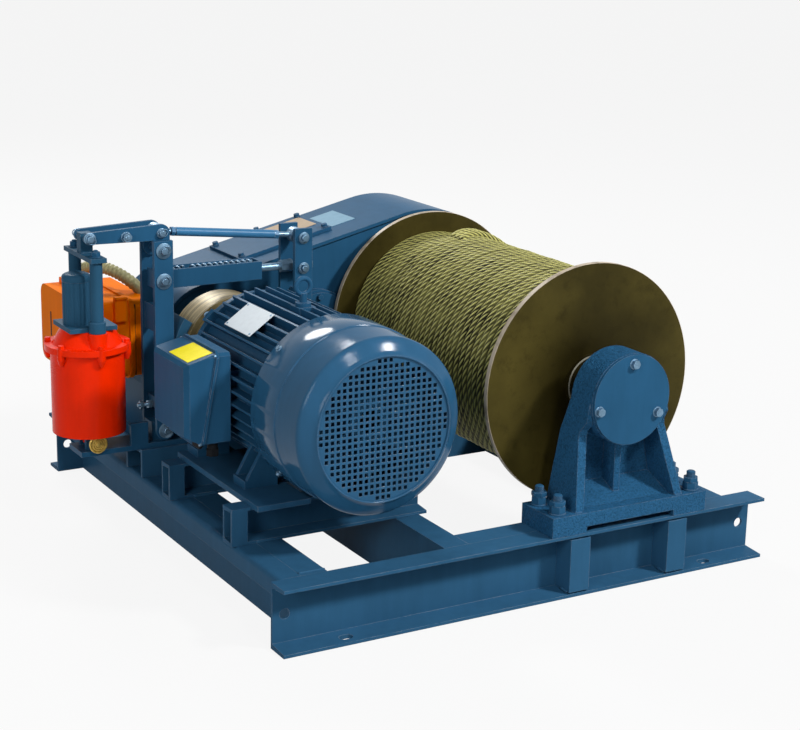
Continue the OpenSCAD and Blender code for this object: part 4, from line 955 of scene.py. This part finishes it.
def lid_screws():
    """Round screws in the lid, which leans back over its height."""
    lid_x, lid_top, lean = -0.5575, 0.516, 0.038 / 0.208
    face = np.array([-math.cos(math.atan(lean)), 0, math.sin(math.atan(lean))])
    seats = [(lid_x - (lid_top - z) * lean, y, z) for y in (-0.268, -0.097) for z in (0.320, 0.505)]
    bolts("lid_screws", "root", "zinc", seats, face, hex_head(0.008, 0.004, round_head=True))


class WINCH_OT_box(Builder, bpy.types.Operator):
    """Finishes the terminal box with its screws and its bare yellow sheet"""

    bl_idname = "winch.box"
    bl_label = "Terminal box"
    dresses, makes = ("box",), (yellow_sheet, lid_screws)


# Brake and thruster


def pinned(name, body, x, heights, face_y, washer_r, pin_r):
    """Washer, pin end and ring cotter on both sides of the brake at each height."""
    rim = [(washer_r - 0.001, 0), (washer_r, 0.0006), (washer_r, 0.0022), (washer_r - 0.0008, 0.0026)]
    fitting = Shape().grid(turned(rim, ORIGIN, UP, 28))
    fitting.grid(turned([(pin_r, 0), (pin_r, 0.0092), (pin_r - 0.0012, 0.0105)], ORIGIN, UP, 20))
    a = np.linspace(0, TURN, 24, endpoint=False)
    loop_x, loop_y = (pin_r + 0.0045) * np.cos(a) - 0.002, (pin_r + 0.001) * np.sin(a)
    loop = np.stack([loop_x, loop_y, np.full(24, 0.0062)], 1)
    along = np.roll(loop, -1, 0) - np.roll(loop, 1, 0)
    along /= np.linalg.norm(along, axis=1, keepdims=True)
    side = np.cross(along, UP)
    across, up = round_section(0.0011, 6).T[..., None]
    wire = loop[:, None] + across * side[:, None] + up * np.cross(along, side)[:, None]
    fitting.grid(wire, loop_rows=True)
    shape = Shape()
    for z in heights:
        seats = [(x, face_y, z), (x, 2 * BRAKE_Y - face_y, z)]
        shape.copies(fitting, seats, [FRONT, Y_AXIS], [0.9 + 7 * x, 0.4])
    shape.piece(name, body, "zinc")


def brake_pins():
    """The pins of the two arms, the lever, the tie rod and the yoke."""
    arm_z, large, small = (SPRING_Z, ARM_FOOT_Z), (0.018, 0.008), (0.0135, 0.0075)
    pinned("left_arm_pins", "left_swing", LEFT_ARM_X, arm_z, ARM_FACE_Y, *large)
    pinned("right_arm_pins", "right_swing", RIGHT_ARM_X, arm_z, ARM_FACE_Y, *small)
    pinned("lever_pivot_pin", "lever", LEFT_ARM_X, [LEVER_Z], ARM_FACE_Y, *large)
    pinned("tie_end_pin", "tie", RIGHT_ARM_X, [TIE_Z], ARM_FACE_Y, *small)
    pinned("lever_tie_pin", "lever", LEFT_ARM_X, [LEVER_PIN_Z], LEVER_FACE_Y, 0.0115, 0.0075)
    pinned("yoke_pin", "yoke", THRUSTER_X, [LEVER_PIN_Z], LEVER_FACE_Y, 0.0135, 0.0078)
    x, z = (LEFT_ARM_X + THRUSTER_X) / 2, LEVER_PIN_Z - 0.002
    ends = [(x, LEVER_FACE_Y, z), (x, 2 * BRAKE_Y - LEVER_FACE_Y, z)]
    head = hex_head(0.019, 0.010, 0.012, 0.002, 0.004, 0.006)
    Shape().copies(head, ends, [FRONT, Y_AXIS], [0.2, 0.5]).piece("lever_bolt", "lever", "zinc", 30)


def brake_spring():
    """Two coils in the open tube, parted round the plate on the rod, each a wire along a helix."""
    pitch, coil_r, wire_r, lift = 0.0139, 0.0170, 0.0026, 0.0038
    spring = Shape()
    for left, right in ((-0.4885, -0.4570), (-0.4365, -0.2815)):
        turns = (right - left) / pitch
        t = np.linspace(0, 1, int(22 * turns) + 1)
        angle = TURN * turns * t
        out = np.stack([np.zeros_like(t), np.cos(angle), np.sin(angle)], 1)
        middle = [left + t * (right - left), np.full_like(t, BRAKE_Y), np.full_like(t, SPRING_Z + lift)]
        spring.grid(swept(np.stack(middle, 1) + coil_r * out, round_section(wire_r, 8), out))
    spring.piece("brake_spring", "left_swing", "zinc", 60)


def stop_bolt():
    """A set screw with its locknut at the left arm."""
    y, z = BRAKE_Y - 0.012, 0.301
    screw, nut = hex_head(0.017, 0.010, stud=0.026, stud_r=0.0055), hex_head(0.017, 0.007)
    stop = Shape().copies(screw, [(-0.544, y, z)], [-X_AXIS], [0.3])
    stop.copies(nut, [(-0.566, y, z)], [-X_AXIS], [0.8])
    stop.piece("stop_bolt", "left_swing", "zinc", 30)


def tie_sleeve():
    """A painted tube on the tie rod, between two locknuts."""
    tilt = math.atan2(TIE_Z - LEVER_PIN_Z, RIGHT_ARM_X - LEFT_ARM_X)
    run = np.array([math.cos(tilt), 0, math.sin(tilt)])
    start = np.array([LEFT_ARM_X, BRAKE_Y, LEVER_PIN_Z])
    tube = [(0.0090, 0.046), (0.0100, 0.047), (0.0100, 0.292), (0.0090, 0.293)]
    sleeve = Shape().grid(turned(tube, start, run, 28))
    for h in (0.035, 0.294):
        nut = [(0.0095, h), (0.0095, h + 0.001), (0.0095, h + 0.009), (0.0085, h + 0.010)]
        sleeve.grid(turned(nut, start, run, 24, [CHAMFERED, CORNER, CORNER, CHAMFERED]))
    sleeve.piece("tie_sleeve", "tie", "pale_blue")


class WINCH_OT_brake(Builder, bpy.types.Operator):
    """Finishes the brake linkage: washers, cotters, spring and stop bolt"""

    bl_idname = "winch.brake"
    bl_label = "Brake linkage"
    dresses, makes = ("wheel", "zinc"), (brake_pins, brake_spring, stop_bolt, tie_sleeve)


def rim_bolts():
    """Six bolts through the thruster's rim."""
    seats = ring_places((THRUSTER_X, BRAKE_Y), 0.088, np.radians(np.arange(30, 360, 60)), 0.460)
    seats = [(x, y, z) for x, z, y in seats]
    bolts("rim_bolts", "thruster", "red", seats, UP, hex_head(0.012, 0.007, 0.008, 0.0015))


def thruster_motor():
    """Fourteen flutes round the small motor, as a ring whose radius rises and falls, under a domed top."""
    x, ribs, cols = THRUSTER_X - 0.022, 14, 224
    around = np.linspace(0, TURN, cols, endpoint=False)
    flute = np.clip(1.6 * np.cos(ribs * around) + 0.7, -1, 1)
    rows = ((0.0295, 0.496, 0.0), (0.0305, 0.498, 0.0008), (0.0305, 0.598, 0.0008), (0.0300, 0.603, 0.0003))
    ring = np.stack([np.cos(around), np.sin(around), np.zeros(cols)], 1)
    motor = Shape().grid([(r + depth * flute)[:, None] * ring + (x, BRAKE_Y, z) for r, z, depth in rows])
    dome = np.radians(np.linspace(0, 80, 7))
    top = [(0.0315, 0.600), (0.0318, 0.602), (0.0318, 0.609)]
    top += [(0.018 + 0.0138 * math.cos(a), 0.609 + 0.0085 * math.sin(a)) for a in dome] + [(0.004, 0.6178)]
    motor.grid(turned(top, (x, BRAKE_Y, 0), UP, 40))
    motor.piece("thruster_motor_ribs", "thruster", "dark", 35)


def rod_fittings():
    """A collar round the foot of each push rod and a nut on its head."""
    collar = [(0.0145, 0.494), (0.0185, 0.4945), (0.0185, 0.518), (0.0165, 0.520), (0.0145, 0.520)]
    nut, yoke_z = hex_head(0.019, 0.010, 0.013, 0.002, 0.006, 0.006), 0.662
    collars, nuts = Shape(), Shape()
    for side in (-1, 1):
        y = BRAKE_Y + side * ROD_OFF
        collars.grid(turned(collar, (THRUSTER_X, y, 0), UP, 32))
        nuts.copies(nut, [(THRUSTER_X, y, yoke_z)], [UP], [0.3 + side])
    collars.piece("rod_collars", "thruster", "dark", 35)
    nuts.piece("yoke_nuts", "yoke", "machine", 30, "dark_paint")


def lug_pin():
    """The turned brass head of the pin that holds the thruster's foot."""
    head = [(0.0100, -0.0220), (0.0100, 0.0), (0.0200, 0.0), (0.0212, 0.0008), (0.0212, 0.0040)]
    head += [(0.0200, 0.0050), (0.0168, 0.0050), (0.0160, 0.0036), (0.0150, 0.0054), (0.0122, 0.0056)]
    head += [(0.0114, 0.0042), (0.0104, 0.0060), (0.0080, 0.0062), (0.0072, 0.0048), (0.0062, 0.0066)]
    place = (THRUSTER_X + 0.0014, 0.0840, 0.2352)
    Shape().grid(turned([*head, (0.0030, 0.0070)], place, FRONT, 36)).piece("lug_pin_head", "root", "brass")


class WINCH_OT_thruster(Builder, bpy.types.Operator):
    """Finishes the thruster: rim bolts, motor flutes, rod collars, yoke nuts and lug pin"""

    bl_idname = "winch.thruster"
    bl_label = "Thruster"
    dresses, makes = ("dark", "red"), (rim_bolts, thruster_motor, rod_fittings, lug_pin)


# Reducer and switch housing


def reducer_top():
    """The bolts of the inspection cover and two bare plates, placed along the reducer's slope."""
    start = np.array([MOTOR_AXIS[0], REDUCER_FRONT, MOTOR_AXIS[1]])
    start += REDUCER_SMALL_R * np.array([-math.sin(SLOPE), 0, math.cos(SLOPE)])
    along = np.array([math.cos(SLOPE), 0, math.sin(SLOPE)])
    out = np.cross(along, Y_AXIS)

    def on_slope(a, depth, lift):
        return start + a * along + depth * Y_AXIS + lift * out

    seats = [on_slope(a, depth, 0.008) for a in (0.153, 0.268, 0.384) for depth in (0.074, 0.224)]
    bolts("hatch_bolts", "root", "machine", seats, out, hex_head(0.013, 0.007, 0.009, 0.0018))
    for name, place, half, look in (("beige_plate", (0.332, 0.165, 0.0086), (0.052, 0.048, 0.0006), "beige"),
                                    ("pale_plate", (0.440, 0.140, 0.0004), (0.034, 0.060, 0.0006), "pale")):
        Shape().grid(slab(on_slope(*place), along, Y_AXIS, half, 0.0004)).piece(name, "root", look)


def reducer_bolts():
    """Bolts of the split flange, of the bearing covers on both sides, and of the foot."""
    joint_z, foot_z = 0.426, 0.164
    split = (-0.465, -0.245, -0.170, 0.035, 0.085, 0.370, 0.480)
    seats = [(x, y, joint_z) for x in split for y in (REDUCER_FRONT - 0.007, REDUCER_REAR + 0.007)]
    bolts("joint_bolts", "root", "machine", seats, UP, hex_head(0.010, 0.007))
    covers, head, face = Shape(), hex_head(0.013, 0.007), 0.024
    angles = np.radians(np.arange(30, 360, 60))
    for x, r in ((MOTOR_AXIS[0], 0.060), (-0.070, 0.074), (DRUM_AXIS[0], 0.096)):
        front = ring_places((x, DRUM_AXIS[1]), r, angles, REDUCER_FRONT - face)
        rear = ring_places((x, DRUM_AXIS[1]), r, angles, REDUCER_REAR + face)
        for *pair, a in zip(front, rear, angles):
            covers.copies(head, pair, [FRONT, Y_AXIS], [a, a])
    covers.piece("bearing_cover_bolts", "root", "machine", 30)
    seats = [(x, y, foot_z) for x in (-0.420, -0.180, 0.110, 0.380)
             for y in (REDUCER_FRONT - 0.013, REDUCER_REAR + 0.013)]
    bolts("reducer_foot_bolts", "root", "dark", seats, UP, hex_head(0.018, 0.011, stud=0.006, stud_r=0.0055))


class WINCH_OT_reducer(Builder, bpy.types.Operator):
    """Finishes the reducer: flange bolts, cover bolts, bare plates and foot bolts"""

    bl_idname = "winch.reducer"
    bl_label = "Reducer"
    makes = (reducer_top, reducer_bolts)


def switch_front():
    """The housing's latch, and the dark seam and slot beside it."""
    lo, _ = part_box("switch_housing")
    face = lo.y + 0.004
    latch = Shape()
    latch.grid(slab((-0.5705, face - 0.0050, 0.4985), X_AXIS, Z_AXIS, (0.0145, 0.0285, 0.0070), 0.0015))
    latch.grid(slab((-0.5705, face - 0.0090, 0.5265), X_AXIS, Z_AXIS, (0.0145, 0.0030, 0.0090), 0.0010))
    latch.piece("switch_latch", "root", "orange")
    seams = Shape()
    seams.grid(slab((-0.5325, face + 0.0008, 0.4220), X_AXIS, Z_AXIS, (0.0012, 0.0840, 0.0010), 0.0004))
    seams.grid(slab((lo.x + 0.0002, 0.4610, 0.4250), Y_AXIS, Z_AXIS, (0.0035, 0.0300, 0.0008), 0.0005))
    seams.piece("switch_seam", "root", "black")


def ribbed_sleeve():
    """A round section whose size ripples, swept along a curve with four control points."""
    steps = 121
    t = np.linspace(0, 1, steps)[:, None]
    ends = np.array([(-0.597, 0.469, 0.515), (-0.600, 0.440, 0.585),
                     (-0.540, 0.330, 0.600), (-0.455, 0.300, 0.480)])
    weights = np.concatenate([(1 - t) ** 3, 3 * (1 - t) ** 2 * t, 3 * (1 - t) * t * t, t ** 3], 1)
    ripple = 1 + 0.07 * np.sin(np.arange(steps) * np.pi / 2)
    sleeve = Shape().grid(swept(weights @ ends, round_section(0.0140, 20), Y_AXIS, ripple))
    sleeve.piece("ribbed_sleeve", "root", "sleeve", 70)


class WINCH_OT_switch(Builder, bpy.types.Operator):
    """Finishes the orange switch housing with its latch, slot and ribbed sleeve"""

    bl_idname = "winch.switch"
    bl_label = "Switch housing"
    dresses, makes = ("orange",), (switch_front, ribbed_sleeve)


# Studio


def floor():
    """A flat floor just under the winch, wide enough to reach the view's edges."""
    corners = np.array([[-1, -1], [1, -1], [1, 1], [-1, 1]], float) * 30
    rows = [np.column_stack([corners, np.full(4, z)]) for z in (-0.02, -0.0005)]
    Shape().grid(rows).drawn("floor", "floor")


def surroundings():
    """White where the camera or a gloss sees them, and a dim, faintly blue light for everything else."""
    world = bpy.data.worlds.new("studio")
    bpy.context.scene.world = world
    world.use_nodes = True
    world.node_tree.nodes.clear()
    nodes = Nodes(world.node_tree)
    soft = nodes.node("ShaderNodeBackground", {0: (0.90, 0.95, 1.0, 1), 1: 0.13}).outputs[0]
    white = nodes.node("ShaderNodeBackground", {0: (1, 1, 1, 1), 1: 1.0}).outputs[0]
    both = nodes.node("ShaderNodeMixShader", {0: nodes.seen_directly(), 1: soft, 2: white})
    nodes.node("ShaderNodeOutputWorld", {0: both.outputs[0]})


def lamps():
    """Four round lamps that face the winch: name, place, diameter and watts."""
    aim = Vector((0.0, 0.0, 0.3))
    table = (("key", (3.4, -4.6, 4.9), 1.0, 410.0), ("front", (-0.4, -4.9, 4.7), 0.9, 90.0),
             ("fill", (-4.8, -3.4, 2.6), 2.4, 105.0), ("back", (0.2, 4.3, 3.7), 1.6, 170.0))
    for name, place, size, power in table:
        data = bpy.data.lights.new(name, "AREA")
        data.shape, data.size, data.energy = "DISK", size, power
        light = bpy.data.objects.new(name, data)
        bpy.context.scene.collection.objects.link(light)
        light.location = place
        light.rotation_mode = "QUATERNION"
        light.rotation_quaternion = (Vector(place) - aim).to_track_quat("Z", "Y")


def camera():
    """The photograph's view, from the camera's place, its turns in radians and its lens."""
    place, yaw, pitch, roll = (-2.0162, -3.5114, 1.4403), 0.52940, 0.26120, 0.0206
    data = bpy.data.cameras.new("camera")
    data.lens, data.sensor_width, data.clip_end = 79.93, 36.0, 200.0
    made = bpy.data.objects.new("camera", data)
    bpy.context.scene.collection.objects.link(made)
    bpy.context.scene.camera = made
    ahead = np.array([math.sin(yaw) * math.cos(pitch), math.cos(yaw) * math.cos(pitch), -math.sin(pitch)])
    right = np.array([math.cos(yaw), -math.sin(yaw), 0.0])
    above = np.cross(right, ahead)
    side = math.cos(roll) * right + math.sin(roll) * above
    top = math.cos(roll) * above - math.sin(roll) * right
    matrix = np.eye(4)
    matrix[:3] = np.column_stack([side, top, -ahead, place])
    made.matrix_world = Matrix(matrix.tolist())
    bpy.context.scene.view_settings.view_transform = "Standard"


class WINCH_OT_stage(Builder, bpy.types.Operator):
    """Sets up the floor, the lights, the white surroundings and the camera"""

    bl_idname = "winch.stage"
    bl_label = "Studio"
    makes = (floor, surroundings, lamps, camera)


STEPS = (WINCH_OT_stage, WINCH_OT_frame, WINCH_OT_pedestal, WINCH_OT_drum, WINCH_OT_rope, WINCH_OT_motor,
         WINCH_OT_cowl, WINCH_OT_box, WINCH_OT_brake, WINCH_OT_thruster, WINCH_OT_reducer, WINCH_OT_switch)


class WINCH_PT_panel(bpy.types.Panel):
    """Lists the colours, sizes and steps of the winch"""

    bl_label = "Electric winch"
    bl_idname = "WINCH_PT_panel"
    bl_space_type = "VIEW_3D"
    bl_region_type = "UI"
    bl_category = "Winch"

    def draw(self, context):
        for group in (context.scene.winch_colours, context.scene.winch_sizes):
            for name in group.__annotations__:
                self.layout.prop(group, name)
        for step in STEPS:
            self.layout.operator(step.bl_idname)


CLASSES = (WinchColours, WinchSizes, *STEPS, WINCH_PT_panel)


def register():
    for cls in CLASSES:
        bpy.utils.register_class(cls)
    bpy.types.Scene.winch_colours = bpy.props.PointerProperty(type=WinchColours)
    bpy.types.Scene.winch_sizes = bpy.props.PointerProperty(type=WinchSizes)


def unregister():
    del bpy.types.Scene.winch_colours, bpy.types.Scene.winch_sizes
    for cls in reversed(CLASSES):
        bpy.utils.unregister_class(cls)


def main():
    register()
    for step in STEPS:
        getattr(bpy.ops.winch, step.bl_idname.split(".")[1])()


if __name__ == "__main__":
    main()
